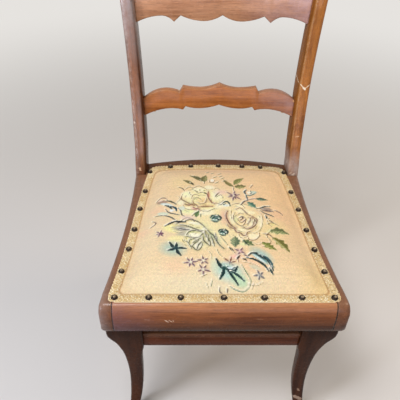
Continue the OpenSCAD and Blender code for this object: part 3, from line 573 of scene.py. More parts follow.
def top_loops(node):
    """The loops round a node's flat upper face, longest first, and that face's height."""
    bm = welded(node)
    top = max(v.co.z for v in bm.verts)
    flat = {f for f in bm.faces if all(v.co.z > top - 0.02 * MM for v in f.verts)}
    follow = {}
    for e in bm.edges:
        if sum(f in flat for f in e.link_faces) == 1:
            a, b = e.verts
            follow.setdefault(a, []).append(b)
            follow.setdefault(b, []).append(a)
    loops, used = [], set()
    for first in follow:
        if first in used:
            continue
        loop, here, before = [], first, None
        while here is not None and here not in used:
            used.add(here)
            loop.append((here.co.x, here.co.y))
            ahead = [v for v in follow[here] if v is not before and v not in used]
            before, here = here, ahead[0] if ahead else None
        loops.append(np.array(loop))
    bm.free()
    return sorted(loops, key=length_of, reverse=True), top


def evenly(loop, step):
    """Points at even steps along a closed loop, anticlockwise from the front's middle."""
    loop = loop if area_of(loop) > 0 else loop[::-1]
    start = np.argmin(np.abs(loop[:, 0]) + (loop[:, 1] > loop[:, 1].mean()))
    loop = np.roll(loop, -start, 0)
    closed = np.vstack([loop, loop[:1]])
    run = np.concatenate([[0], np.cumsum(np.linalg.norm(np.diff(closed, axis=0), axis=1))])
    count = int(round(run[-1] / step))
    at = np.arange(count) * run[-1] / count
    return np.stack([np.interp(at, run, closed[:, k]) for k in (0, 1)], 1)


def eased_loop(loop, rounds):
    """The loop with its small bends evened out."""
    for _ in range(rounds):
        loop = (np.roll(loop, 1, 0) + 2 * loop + np.roll(loop, -1, 0)) / 4
    return loop


def inward(loop, distance):
    """The loop moved in by a distance."""
    run = np.roll(loop, -1, 0) - np.roll(loop, 1, 0)
    run /= np.linalg.norm(run, axis=1)[:, None]
    return loop + np.stack([-run[:, 1], run[:, 0]], 1) * distance


braid_loops, braid_top = top_loops("gimp_braid")
outer_edge = eased_loop(evenly(braid_loops[0], PATH_STEP), EDGE_ROUNDS)
inner_edge = evenly(braid_loops[1], PATH_STEP)
braid_width = abs(inner_edge[:, 1].min() - outer_edge[:, 1].min())
print(f"braid: {braid_width / MM:.1f} mm wide, {len(outer_edge) * PATH_STEP / MM:.0f} mm round")

# %% [markdown]
# ## The stuffing
# Under the cover lies a pad of cotton felt and hair, crowned in the middle and pulled down round its
# edge. Its shape comes from a cloth simulation: the model's pad, a little smaller, is remeshed and
# blown up gently while its underside is held on the hessian. A cap keeps each point close to the
# model's pad. Years of sitting have rubbed out its ridges, so it is smoothed after that.

# %% Cotton felt
def cotton_felt():
    """Teased cotton: matt and fluffy, with dark specks of seed husk in it."""
    made, tree, shader, place = new_finish("cotton_felt")
    tufts = add(tree, "noise", place, repeats(9), 6, 0.7)
    felt = add(tree, "mix", add(tree, "range", tufts, 0.35, 0.65), linear("#CFC4AC"), linear("#EEE8DA"))
    seeds = add(tree, "range", add(tree, "noise", place, repeats(2.5)), 0.66, 0.72, 0, 0.6)
    fill(tree, shader, {
        "Base Color": add(tree, "mix", seeds, felt, linear("#7C6A50")), "Roughness": 0.95,
        "Sheen Weight": 0.3, "Normal": add(tree, "bump", tufts, 1.2 * MM)})
    return made


# %% The pad
PAD_SHARE = (0.985, 0.985, 0.93)
PAD_GRID = 6 * MM
HELD_BELOW = 3 * MM
PRESSURE = 4
LAST_FRAME = 20
SWELL_CAP = 4 * MM
SMOOTHING_ROUNDS = 45


def smaller_pad():
    """The model's pad, a little smaller, with an even grid of faces and the level of its underside."""
    bm = welded("seat_stuffing")
    middle = sum((v.co for v in bm.verts), Vector()) / len(bm.verts)
    middle.z = low = min(v.co.z for v in bm.verts)
    for v in bm.verts:
        v.co = [m + (c - m) * share for m, c, share in zip(middle, v.co, PAD_SHARE)]
    mesh = bpy.data.meshes.new("stuffing")
    bm.to_mesh(mesh)
    bm.free()
    pad = bpy.data.objects.new("stuffing", mesh)
    bpy.context.scene.collection.objects.link(pad)
    remesh = pad.modifiers.new("remesh", "REMESH")
    remesh.mode = "VOXEL"
    remesh.voxel_size = PAD_GRID
    flatten(pad)
    return pad, low


def blow_up(pad, low):
    """Swells the pad with an inner pressure, each point by no more than the cap."""
    rest = np.array([v.co for v in pad.data.vertices])
    held = pad.vertex_groups.new(name="held")
    held.add([i for i, p in enumerate(rest) if p[2] < low + HELD_BELOW], 1.0, "REPLACE")
    cloth = pad.modifiers.new("cloth", "CLOTH")
    cloth.settings.vertex_group_mass = "held"
    cloth.settings.use_pressure = True
    cloth.settings.uniform_pressure_force = PRESSURE
    cloth.settings.quality = 5
    cloth.settings.effector_weights.gravity = 0
    for number in range(1, LAST_FRAME + 1):
        bpy.context.scene.frame_set(number)
    flatten(pad)
    bpy.context.scene.frame_set(1)
    move = np.array([v.co for v in pad.data.vertices]) - rest
    far = np.linalg.norm(move, axis=1)[:, None]
    swollen = rest + move * np.minimum(1, SWELL_CAP / np.maximum(far, 1e-9))
    swollen[:, 2] = np.maximum(swollen[:, 2], low)
    pad.data.vertices.foreach_set("co", swollen.astype(np.float32).ravel())
    print(f"the pad swelled by up to {min(far.max(), SWELL_CAP) / MM:.1f} mm")


stuffing, underside = smaller_pad()
blow_up(stuffing, underside)
settle = stuffing.modifiers.new("sat_smooth", "SMOOTH")
settle.factor = 0.5
settle.iterations = SMOOTHING_ROUNDS
flatten(stuffing)
stuffing.modifiers.new("rounder", "SUBSURF").levels = 1
stuffing.modifiers["rounder"].render_levels = 1
flatten(stuffing)
stuffing.data.materials.clear()
stuffing.data.materials.append(cotton_felt())
stuffing.data.polygons.foreach_set("use_smooth", [True] * len(stuffing.data.polygons))
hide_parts("seat_stuffing")
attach(stuffing, "root")

# %% [markdown]
# ## Stitching the bouquet
# Needlepoint is a picture in wool on a canvas grid: each tent stitch covers one crossing and has one
# colour. So the cover is a grid of small squares, one for each stitch, and its picture is worked in
# three kinds of mark: soft patches of shade, leaves, and drawn lines. Places and sizes are in
# millimetres on the seat, from its middle, with y to the back. The stitches are 2 mm apart.

# %% The canvas grid
STITCH = 2.0 * MM
CANVAS_INSET = 1.0 * MM
outline = inward(outer_edge, CANVAS_INSET)
columns = int(np.abs(outline[:, 0]).max() / STITCH) + 1
rows_from = int(math.floor(outline[:, 1].min() / STITCH))
rows_to = int(math.ceil(outline[:, 1].max() / STITCH))
grid_x = np.arange(-columns, columns + 1) * STITCH
grid_y = np.arange(rows_from, rows_to + 1) * STITCH
middle_x, middle_y = np.meshgrid((grid_x[:-1] + grid_x[1:]) / 2, (grid_y[:-1] + grid_y[1:]) / 2)


def inside(loop, x, y):
    """Which points lie inside a closed loop."""
    result = np.zeros(x.shape, bool)
    for (ax, ay), (bx, by) in zip(loop, np.roll(loop, -1, 0)):
        crosses = (ay > y) != (by > y)
        result ^= crosses & (x < (bx - ax) * (y - ay) / (by - ay + 1e-12) + ax)
    return result


kept = inside(outline, middle_x, middle_y)
stitch_x = middle_x[kept] / MM
stitch_y = middle_y[kept] / MM
print("stitches:", kept.sum())

# %% Wools and marks
GROUND, CREAM, IVORY, BUTTER, PEACH = "#EED2A4", "#F2E2B2", "#FAF5D2", "#F5EFB4", "#EFC79A"
TERRACOTTA, RUST, PLUM, BLUSH = "#B0704E", "#9C5340", "#67424F", "#EFC4B6"
OLIVE, MOSS, TEAL = "#74763A", "#5E5A2E", "#35727A"
NIGHT, MIST, SMOKE = "#10363C", "#C0DACF", "#9C9F98"
picture = np.tile(srgb(GROUND), (len(stitch_x), 1))
uneven = np.random.default_rng(3).uniform(0.6, 1.15, len(stitch_x))


def lay(cover, hex_colour, dark=1.0):
    """Works a colour in over the stitches by how far each is covered."""
    share = np.clip(cover, 0, 1)[:, None]
    picture[:] = picture * (1 - share) + srgb(hex_colour) * dark * share


def patch(x, y, half_x, half_y, hex_colour, strength=0.9, turn=0.0, soft=0.35):
    """A soft oval of shade."""
    a = math.radians(turn)
    u = ((stitch_x - x) * math.cos(a) + (stitch_y - y) * math.sin(a)) / half_x
    v = ((stitch_y - y) * math.cos(a) - (stitch_x - x) * math.sin(a)) / half_y
    lay(np.clip((1 - np.sqrt(u * u + v * v)) / soft, 0, 1) * strength, hex_colour)


def far_from(points):
    """Each stitch's distance from a smooth line through given points, and its place along it."""
    nodes = np.array(points, float)
    ends = np.vstack([2 * nodes[0] - nodes[1], nodes, 2 * nodes[-1] - nodes[-2]])
    t = np.linspace(0, 1, 6)[:, None]
    path = np.vstack([0.5 * (2 * b + (c - a) * t + (2 * a - 5 * b + 4 * c - d) * t ** 2
                             + (3 * b - a - 3 * c + d) * t ** 3)
                      for a, b, c, d in zip(ends, ends[1:], ends[2:], ends[3:])])
    away = np.full(len(stitch_x), 99.0)
    along = np.zeros(len(stitch_x))
    for i, ((ax, ay), (bx, by)) in enumerate(zip(path, path[1:])):
        dx, dy = bx - ax, by - ay
        s = np.clip(((stitch_x - ax) * dx + (stitch_y - ay) * dy) / (dx * dx + dy * dy + 1e-9), 0, 1)
        here = np.hypot(stitch_x - ax - s * dx, stitch_y - ay - s * dy)
        along = np.where(here < away, (i + s) / (len(path) - 1), along)
        away = np.minimum(away, here)
    return away, along


def line(points, width, hex_colour, strength=1.0, glow=0.0, lit=0.45):
    """A line of uneven stitches, thin at both ends, with a soft shade round it and a light edge."""
    beside, _ = far_from([(x - 2.2, y + 2.0) for x, y in points])
    lay((width * 0.5 + 0.6 - beside) / 1.2 * lit, "#FFFBEA")
    away, along = far_from(points)
    half = (width - 0.8) * (0.3 + 0.36 * np.sin(np.pi * np.clip(along, 0.04, 0.96)))
    if glow:
        lay((1 - away / (width * 2.0)) * glow, hex_colour)
    lay((half + 0.6 - away) / 1.2 * strength * uneven, hex_colour, dark=0.72)


def leaf(x0, y0, x1, y1, width, dark, light, bend=0.0, teeth=0.0, lit=0.5):
    """A pointed leaf from its stalk to its tip: a light side, a dark side and a dark vein."""
    length = math.hypot(x1 - x0, y1 - y0)
    ux, uy = (x1 - x0) / length, (y1 - y0) / length
    t = ((stitch_x - x0) * ux + (stitch_y - y0) * uy) / length
    tt = np.clip(t, 0, 1)
    off = (stitch_y - y0) * ux - (stitch_x - x0) * uy - bend * np.sin(np.pi * tt)
    half = width / 2 * np.sin(np.pi * tt ** 0.8) * (1 + teeth * np.sin(tt * 7 * np.pi))
    cover = np.where((t > 0) & (t < 1), (half - np.abs(off)) / 1.6, -1)
    veins = 0.5 + 0.5 * np.sin(t * length * 1.1 + np.abs(off) * 0.9)
    lay(cover, light)
    lay(np.minimum(cover, veins) * 0.45, dark)
    lay(np.minimum(cover, 1 - veins) * 0.35, "#E8E2AE")
    lay(np.minimum(cover, (off + lit) / 2.0) * 0.6 * uneven, dark)
    lay(np.minimum(cover, 1.2 - np.abs(off)) * uneven, dark, dark=0.85)
    lay(np.minimum(cover, 1.6 - (half - np.abs(off))) * 0.9 * uneven, dark, dark=0.9)


def flower(x, y, size, hex_colour, petals=5, turn=0.0, heart=None):
    """A small flower of thin petals on a soft shade of its colour."""
    patch(x, y, size, size * 0.9, hex_colour, 0.35, soft=0.8)
    for k in range(petals):
        a = math.radians(turn + 360 * k / petals)
        reach = size * (0.85 + 0.3 * ((k * 7) % 3) / 2)
        line([(x + 1.5 * math.cos(a), y + 1.5 * math.sin(a)),
              (x + reach * math.cos(a), y + reach * math.sin(a))], 3.4, hex_colour, 0.9, lit=0.3)
    patch(x, y, 3.4, 3.4, heart or IVORY, 0.8)


# %% [markdown]
# The ground comes first: warm cream, peachier to the right and at the back, paler towards the
# front. The glow round the bouquet is butter yellow.

# %% Ground
def ground_shades():
    """The cream ground and the butter glow round the bouquet."""
    patch(150, 60, 150, 190, "#F3C994", 0.6, soft=0.9)
    patch(30, 170, 190, 70, "#F6CFA2", 0.65, soft=0.8)
    patch(-40, -215, 210, 80, "#E6DBB6", 0.8, soft=0.8)
    patch(-130, -90, 90, 170, "#EBDBB4", 0.5, soft=0.9)
    patch(190, -200, 60, 90, "#E8CC88", 0.5, soft=0.9)
    for x, y, r in ((-95, -165, 34), (-165, -60, 26), (60, 30, 40), (120, -20, 46), (30, 150, 30),
                    (-140, 0, 30), (-10, -120, 26), (60, -160, 40)):
        patch(x, y, r, r * 0.7, "#F2C4A0", 0.4, soft=0.8)
    patch(-12, -35, 116, 132, CREAM, 0.75, soft=0.5)
    patch(-20, -30, 88, 104, "#F5E9B2", 0.6, soft=0.5)
    patch(104, -62, 44, 44, "#F1DE9E", 0.6, soft=0.7)
    patch(-84, 92, 44, 34, "#EFDBA0", 0.5, soft=0.8)


# %% [markdown]
# The three roses are drawn one after another: pale petals first, and then the brown, terracotta or
# sage lines round them. Every place was judged against the photograph.

# %% Three roses
def cream_rose():
    """The upper rose: butter petals, with terracotta and brown drawing."""
    patch(-38, 28, 54, 50, BUTTER, 0.85)
    for x, y, a, b in ((-74, 47, 15, 15), (-68, -8, 24, 15), (-34, -14, 26, 12), (-6, 44, 14, 24),
                       (-48, 64, 18, 10), (0, 8, 16, 12), (-86, 20, 12, 12), (-22, 72, 14, 9)):
        patch(x, y, a, b, IVORY, 0.85, soft=0.45)
    patch(-70, -10, 18, 9, "#ECF0AC", 0.8, soft=0.5)
    patch(-74, 48, 11, 10, "#F6F8C4", 0.9, soft=0.6)
    patch(-6, 46, 10, 16, "#EEF2C4", 0.8, soft=0.6)
    patch(-36, 22, 20, 17, "#F0CF94", 0.75, soft=0.6)
    patch(-60, 10, 15, 6, PEACH, 0.8, soft=0.7)
    patch(-56, -3, 11, 5, "#EDB0A0", 0.9, soft=0.7)
    patch(-25, 44, 5, 14, "#E8A88C", 0.9, soft=0.7)
    patch(-28, 8, 22, 4, "#E8BE80", 0.9, soft=0.7)
    line([(-60, 28), (-59, 17), (-51, 9), (-48, 0)], 2.4, "#9C6C4A", glow=0.2)
    line([(-58, 28), (-52, 36), (-45, 32), (-38, 22)], 2.2, "#A07E4E")
    line([(-63, 33), (-60, 43), (-53, 46), (-45, 40)], 2.2, "#A8764E")
    line([(-48, 17), (-36, 15), (-30, 24), (-26, 46)], 2.4, "#B07C5C")
    line([(-25, 56), (-26, 42), (-23, 28), (-16, 16), (-8, 17)], 3.0, TERRACOTTA, glow=0.3)
    line([(-47, 4), (-34, 4), (-17, 5)], 3.0, "#A26C3E", glow=0.3)
    line([(-78, 64), (-68, 73), (-58, 70), (-47, 77), (-34, 70), (-27, 64), (-14, 65)], 2.0, "#9C8458")
    line([(-83, 48), (-85, 33), (-77, 20)], 2.0, "#9A8252")
    line([(-87, 31), (-75, 21), (-65, 13), (-57, 9)], 2.6, "#8C6C42", glow=0.3)
    line([(-78, 14), (-70, 10), (-62, 12)], 3.4, "#A0633E", glow=0.3)
    line([(-60, 4), (-54, -2), (-47, -3), (-46, -8)], 3.2, RUST, glow=0.3)
    line([(-14, 13), (-1, 16), (7, 25)], 2.0, "#A08A58")
    line([(-8, 36), (3, 45), (8, 32)], 2.0, "#9C8C58")
    line([(-82, 10), (-75, -2), (-63, -6), (-52, -3)], 2.0, "#A09668")
    line([(-46, -8), (-30, -12), (-16, -4), (-4, -4)], 2.0, "#A8A070")
    line([(-54, 60), (-48, 51), (-38, 54), (-32, 48)], 2.2, "#857C46")
    line([(-68, 57), (-65, 46), (-58, 43)], 1.8, "#98905C")
    line([(-12, 62), (-6, 70), (2, 62)], 1.8, "#A89868")
    for x, y in ((-55, 60), (-50, 57), (-60, 66), (-34, 60), (-44, 62)):
        patch(x, y, 2.8, 2.4, OLIVE, 0.9, soft=0.8)
    line([(-92, 74), (-84, 69), (-79, 61)], 3.0, "#7C6640")
    line([(-34, 53), (-27, 46)], 3.2, "#5C5A2C")
    line([(-92, 42), (-87, 32), (-93, 22), (-99, 12)], 1.8, "#B09468", 0.8)
    line([(0, 54), (-5, 47), (-10, 38)], 3.4, "#5E5628")


def blush_rose():
    """The right rose: cream petals rolled round each other, drawn in brown, on a blush shadow."""
    patch(47, -42, 46, 58, "#F2DFA8", 0.95, soft=0.4)
    patch(6, -28, 12, 34, "#E8B49C", 0.6, soft=0.8)
    for x, y, a, b in ((24, -34, 8, 22), (64, -44, 14, 14), (40, -68, 18, 8), (64, -86, 16, 10),
                       (34, -92, 16, 8), (46, -8, 20, 9), (82, -40, 9, 24), (44, 8, 16, 6),
                       (66, -14, 12, 6)):
        patch(x, y, a, b, "#FAF1C8", 0.9, soft=0.5)
    patch(44, -40, 12, 11, "#EFC994", 0.8, soft=0.7)
    patch(30, -36, 8, 16, "#DFE4AA", 0.75, soft=0.8)
    patch(44, -108, 22, 7, "#E9F2B8", 0.8, soft=0.8)
    line([(15, -10), (11, -26), (15, -44), (21, -55), (29, -64)], 2.8, "#7E4A3C", glow=0.35)
    line([(12, -52), (18, -61), (26, -65), (30, -74), (38, -77), (43, -84), (50, -83), (53, -75),
          (60, -72)], 2.6, "#7C4A38", glow=0.2)
    line([(31, -14), (27, -26), (28, -40), (34, -51), (43, -56), (50, -47), (52, -33), (47, -27),
          (41, -30)], 2.2, "#94704A")
    line([(58, -29), (63, -33), (60, -43), (54, -51)], 2.4, "#8A5A40", glow=0.15)
    line([(66, -29), (71, -36), (68, -49), (63, -58), (56, -61)], 2.4, "#8A5A40", glow=0.15)
    line([(45, -59), (53, -65), (65, -60), (73, -49), (76, -35), (68, -27)], 2.6, "#744430", glow=0.2)
    line([(34, -5), (42, 1), (49, -5), (57, -19), (68, -26)], 2.4, "#8A5A40", glow=0.15)
    line([(73, 0), (86, -14), (89, -35), (84, -59), (76, -72), (66, -77), (58, -71)], 2.0, "#A89060", 0.55)
    line([(52, -83), (53, -93), (60, -98), (69, -95), (77, -85), (77, -76)], 2.2, "#987048")
    line([(34, -77), (36, -88), (43, -92), (51, -87)], 2.0, "#A88254")
    line([(25, 10), (35, 15), (47, 12), (54, -1)], 2.0, "#A88254")
    line([(24, -5), (22, -23), (24, -37)], 1.8, "#A88254")
    line([(36, -37), (41, -45), (48, -43)], 2.0, "#8A7C48")
    line([(37, -22), (42, -16), (50, -20)], 2.0, "#94684C")
    line([(38, -32), (45, -27), (46, -33), (41, -38)], 2.8, "#42222A")
    line([(45, -45), (50, -39), (54, -35)], 2.2, PLUM)
    line([(92, -88), (98, -97), (96, -108), (88, -114), (78, -116)], 2.0, "#A07E4C")
    line([(106, -66), (98, -74), (92, -82), (94, -88)], 2.4, "#8A643C")
    line([(104, -28), (98, -44), (106, -56)], 2.0, "#A89458", 0.8)
    line([(90, -16), (98, -26), (104, -40)], 1.8, "#A89458", 0.8)
    line([(62, -104), (72, -110), (82, -104)], 1.8, "#B09A60", 0.8)


def ivory_rose():
    """The lower rose: long ivory petals with sage grey drawing, and a grey shadow on its left."""
    patch(-48, -82, 40, 48, "#EFEAB4", 0.95, soft=0.4)
    patch(-102, -62, 28, 16, "#F5EFA6", 0.95, turn=-14, soft=0.5)
    patch(-84, -64, 24, 12, "#A3A097", 0.95, turn=-12, soft=0.7)
    patch(-82, -80, 16, 9, "#B4B2A0", 0.8, turn=10, soft=0.7)
    patch(-94, -94, 24, 12, "#F7ECAC", 0.9, soft=0.5)
    for x, y, a, b, turn in ((-57, -83, 17, 8, -4), (-54, -49, 22, 5, -14), (-60, -66, 20, 4, -12),
                             (-50, -113, 14, 10, 10), (-30, -94, 5, 15, 14), (-38, -68, 6, 12, -38),
                             (-20, -106, 4, 14, 16), (-12, -100, 3, 14, 34), (-47, -99, 8, 5, 0)):
        patch(x, y, a, b, "#FDFBDC", 1.0, turn=turn, soft=0.5)
    patch(-22, -84, 5, 20, "#B9C89C", 0.85, turn=28, soft=0.8)
    patch(-37, -88, 4, 10, "#A9AE78", 0.8, soft=0.8)
    patch(-62, -75, 16, 3, "#C4C88C", 0.9, turn=-6, soft=0.8)
    patch(-12, -92, 8, 22, "#CFDDB6", 0.7, turn=30, soft=0.9)
    for width, hex_colour, *points in (
            (2.8, "#5E6244", (-96, -50), (-86, -45), (-79, -43), (-67, -37), (-52, -42), (-40, -53),
             (-29, -70)),
            (3.4, "#545C3E", (-29, -70), (-24, -78), (-18, -84), (-14, -94), (-8, -109), (2, -121)),
            (3.0, "#63664A", (-88, -52), (-76, -55), (-61, -62), (-48, -69), (-35, -73)),
            (3.2, "#6A6C68", (-90, -62), (-78, -66), (-66, -68)),
            (2.8, "#666A46", (-74, -86), (-68, -74), (-57, -70), (-43, -74), (-35, -75)),
            (2.8, "#5E6142", (-74, -86), (-59, -91), (-47, -90), (-41, -81), (-35, -75)),
            (2.8, "#666A46", (-66, -97), (-68, -110), (-60, -117), (-55, -123), (-49, -125), (-43, -117),
             (-40, -105)),
            (2.4, "#6E7250", (-66, -97), (-59, -94), (-50, -95), (-42, -91)),
            (2.8, "#575A3E", (-61, -114), (-55, -105), (-48, -99)),
            (3.0, "#575A3E", (-52, -122), (-48, -110), (-42, -102)),
            (2.2, "#7A7C58", (-59, -105), (-55, -100), (-47, -96)),
            (3.0, "#5E6142", (-40, -88), (-38, -99), (-31, -108), (-26, -113)),
            (3.0, "#5E6142", (-35, -76), (-32, -88), (-26, -100), (-25, -112)),
            (2.4, "#7A7C58", (-29, -83), (-28, -94), (-30, -102)),
            (2.8, "#666A46", (-24, -86), (-19, -100), (-17, -114)),
            (2.2, "#8C8E68", (-78, -99), (-70, -104), (-62, -122))):
        line(points, width, hex_colour, glow=0.2, lit=0.7)
    line([(-70, -38), (-64, -33), (-58, -38)], 3.0, "#84875A")
    line([(-14, -76), (-12, -88), (-10, -98)], 2.4, "#74748A", 0.9)
    line([(-4, -86), (4, -100), (10, -112)], 2.2, "#7C8450", 0.9)
    line([(-12, -122), (-8, -134), (-2, -142)], 2.0, "#9A9C68", 0.8)
    line([(-28, -128), (-22, -138), (-24, -148)], 2.0, "#9A9C68", 0.8)
    line([(-100, -70), (-90, -76), (-80, -74)], 2.0, "#8C8C7C", 0.8)
    line([(-104, -58), (-92, -66), (-82, -70)], 2.0, "#8C8C7C", 0.8)
    line([(13, -118), (20, -126)], 4.4, "#4A4E30")
    line([(18, -122), (26, -138), (30, -158)], 2.0, "#B07A62", 0.8)


def petal_stitches():
    """Short pale and dark stitches that curl round each rose, as the shading wools do."""
    lay_out = np.random.default_rng(21)
    for x, y, half_x, half_y in ((-40, 26, 50, 46), (46, -44, 46, 56), (-48, -88, 38, 40)):
        for k in range(44):
            turn, reach = lay_out.uniform(0, 2 * math.pi), lay_out.uniform(0.25, 1.05)
            ends = [(x + half_x * reach * math.cos(turn + t), y + half_y * reach * math.sin(turn + t))
                    for t in (-0.09 / reach, 0, 0.09 / reach)]
            shade = ("#FFFDEA", "#FFFDEA", "#B29A62", "#A0A468")[k % 4]
            line(ends, 2.2, shade, 0.55, lit=0)


# %% [markdown]
# Buds, sprigs and leaves fill the gaps and reach out over the ground. The blue ones are worked in
# shades from mist to night, and the leaves in greens from moss to sage.

# %% Leaves, buds and small flowers
def teal_bud(x, y, size):
    """A round bud of dark teal strokes, with pale lights between its petals."""
    patch(x, y, size * 1.3, size * 1.2, MIST, 0.6, soft=0.8)
    patch(x, y, size * 0.9, size, "#6F9C8E", 0.95, soft=0.5)
    for width, *stroke in ((3.6, (-0.9, 0.1), (-0.6, 0.7), (0.1, 0.9)),
                           (4.2, (-0.6, -0.1), (-0.1, 0.4), (0.5, 0.4)),
                           (4.4, (0.5, 0.9), (0.95, 0.2), (0.8, -0.5)),
                           (3.8, (-0.1, 0.0), (0.4, -0.1), (0.5, -0.6)),
                           (3.4, (-0.7, -0.6), (-0.1, -0.95), (0.5, -0.9))):
        line([(x + size * a, y + size * b) for a, b in stroke], width, "#17403E", lit=0)
    for a, b in ((0.15, 0.62), (0.6, 0.0), (-0.35, -0.35), (0.15, -0.4)):
        patch(x + size * a, y + size * b, size * 0.24, size * 0.16, "#F4F8F2", 1.0, soft=0.6)


def sprays():
    """The buds, sprigs, leaves and small flowers round the roses."""
    leaf(-40, 96, -70, 120, 13, MOSS, "#8F9655", bend=-5)
    line([(-38, 96), (-44, 108), (-58, 118)], 3.4, "#5A5A2A")
    leaf(-58, 82, -84, 102, 10, MOSS, "#6E6C32", bend=-2)
    line([(-58, 82), (-64, 90)], 4.6, "#4C4420")
    leaf(-33, 92, -28, 122, 17, "#62602F", "#98985C", bend=3)
    line([(-34, 92), (-32, 86)], 2.4, "#7A6044")
    line([(-22, 100), (-20, 91), (-12, 91), (-9, 100)], 2.4, "#B98F58", 0.9)
    patch(-15, 99, 6, 8, "#FCF8E6", 1.0, soft=0.6)
    for x, y in ((-24, 137), (-13, 131), (4, 128), (-8, 112), (10, 108), (-4, 90), (14, 96), (6, 116)):
        line([(x - 4, y - 3), (x + 4, y + 3)], 2.6, "#8F8B54", 0.85)
    leaf(34, 74, 10, 104, 11, "#6A622E", "#8C8648", bend=2)
    leaf(34, 82, 60, 110, 15, "#6F7434", "#8F9450", bend=3)
    leaf(35, 74, 64, 78, 16, "#6A6634", "#A2A260", teeth=0.2)
    line([(34, 74), (33, 60)], 2.2, PLUM)
    patch(4, 54, 22, 14, "#F0C8BE", 0.6, soft=0.8)
    flower(32, 42, 17, "#966E80", 6, 20, BLUSH)
    flower(32, 42, 10, PLUM, 3, 50)
    patch(13, 9, 9, 5, "#E4EEE6", 0.9)
    line([(3, 12), (9, 19), (15, 22), (20, 16), (22, 7)], 4.2, "#27463C")
    line([(6, 10), (12, 15)], 3.0, "#3E5E50")
    line([(-3, 10), (4, 12)], 2.6, "#4A6B5C")
    line([(46, 11), (53, 22), (62, 27)], 3.4, "#4C3640")
    line([(62, 27), (61, 36), (60, 46)], 3.6, "#34444C")
    line([(60, 46), (57, 56), (62, 64)], 4.0, "#2C4A54")
    line([(60, 46), (68, 44), (78, 50), (84, 57)], 3.4, "#5F9086")
    line([(70, 62), (73, 54), (68, 48)], 2.8, TEAL)
    patch(66, 55, 4.5, 5, "#F6F3E0", 1.0)
    patch(78, 56, 8, 6, MIST, 0.7)
    line([(62, 28), (72, 32), (82, 33)], 2.4, "#7B6268")
    leaf(80, 33, 108, 31, 11, "#2B4A3C", "#7FA07C", lit=1.5)
    leaf(60, 22, 80, 0, 14, "#2F6454", "#86AC90", teeth=0.25)
    line([(72, 72), (79, 84)], 2.6, "#A97A5A")
    patch(100, -2, 16, 9, "#97806E", 0.9, turn=-12)
    line([(79, 0), (88, 2), (98, 8), (110, 9)], 3.6, "#47604C")
    line([(86, -6), (95, -14), (108, -20), (114, -24)], 3.4, "#4C5A50")
    line([(92, -2), (104, -5), (116, -8)], 3.2, "#664A4C", 0.9)
    patch(103, 4, 7, 3, "#C9B7A0", 0.7)
    line([(118, -2), (128, -6), (136, -14)], 2.8, "#7A4C42")
    line([(97, -22), (98, -31)], 4.0, "#4E6054")
    line([(102, -36), (112, -44)], 3.0, "#7A5A50")
    teal_bud(-12, -33, 12)
    teal_bud(2, -75, 10)
    patch(-128, 26, 15, 8, "#A08670", 0.85, turn=-15)
    line([(-141, 32), (-132, 41), (-124, 40), (-116, 32)], 2.8, "#8A6656")
    patch(-132, 33, 7, 4, "#F0D6C0", 0.8)
    line([(-118, 29), (-108, 24), (-96, 14)], 4.0, "#3E4A30")
    patch(-118, 16, 18, 5, "#D9E9E2", 0.95, turn=-24)
    line([(-121, 13), (-112, 8), (-106, 0)], 5.0, NIGHT)
    line([(-108, 8), (-98, 2), (-95, -8)], 5.0, "#12506A")
    patch(-106, -6, 6, 5, "#F0F6F2", 1.0)
    line([(-119, 0), (-112, -12), (-98, -18), (-88, -22)], 3.0, "#36484A")
    line([(-92, 2), (-86, -8), (-84, -20), (-76, -28)], 3.2, "#4A4A44")
    patch(-84, 0, 8, 8, "#D5E4DA", 0.7)
    patch(-124, -14, 16, 6, "#CFE0CC", 0.8, turn=-16)
    line([(-142, -18), (-130, -19), (-118, -21)], 3.0, "#6E7446")
    line([(-122, -20), (-108, -27), (-96, -38)], 3.4, "#2F3C42")
    line([(-100, -42), (-88, -43), (-76, -44)], 5.4, "#1C2A2C")
    line([(-118, -54), (-106, -46), (-94, -40)], 4.6, "#22322E")
    line([(-84, -40), (-74, -31), (-64, -34), (-56, -44)], 3.2, "#6E5A52")
    patch(-70, -30, 22, 8, "#EBD2C2", 0.7)
    leaf(-54, -30, -46, -6, 10, "#3F6234", "#86A468")
    line([(-62, -26), (-54, -16), (-46, -10)], 2.8, "#4E7040")
    line([(-44, -30), (-42, -18)], 2.6, "#5F8048")
    line([(-146, -32), (-138, -42), (-150, -52)], 2.8, "#8C6A5E")
    flower(-128, -76, 9, "#A58090", 6, 10, PLUM)
    patch(-124, -76, 4, 4, "#6A3F58", 0.9)
    patch(-100, -120, 34, 25, "#A8C8BC", 0.9, turn=-15, soft=0.8)
    patch(-96, -119, 13, 9, "#6E9C98", 0.7, soft=0.8)
    for width, *points in ((6.0, (-107, -103), (-100, -115), (-94, -119)),
                           (5.6, (-109, -125), (-100, -122), (-92, -119)),
                           (5.4, (-93, -106), (-93, -114), (-93, -120)),
                           (5.0, (-93, -120), (-84, -119), (-73, -121)),
                           (5.8, (-93, -121), (-90, -130), (-84, -138))):
        line(points, width, NIGHT, lit=0.3)
    patch(-94, -119, 6, 6, NIGHT, 0.95, soft=0.5)
    flower(-64, -155, 12, "#86607C", 6, 70)
    flower(-39, -151, 11, "#926E7C", 5, 30)
    flower(-40, -171, 12, "#8A6470", 5, 200)
    patch(112, -70, 26, 10, "#DDE8B0", 0.7, soft=0.8)
    leaf(99, -70, 142, -74, 18, "#5A6436", "#92A266", bend=5, teeth=0.25)
    leaf(103, -88, 134, -128, 18, "#6C6A2C", "#A8A650", bend=3, teeth=0.25, lit=2.0)
    line([(106, -94), (118, -110), (128, -122)], 2.0, "#DFE0A0", 0.8)
    leaf(80, -103, 108, -124, 14, "#626C26", "#9FA854", teeth=0.25)
    line([(84, -78), (96, -80), (105, -90)], 2.8, "#86583C")
    patch(108, -50, 5, 5, "#E9DC98", 0.9)
    line([(98, -50), (104, -44), (114, -46), (122, -52)], 2.4, "#A29850", 0.9)
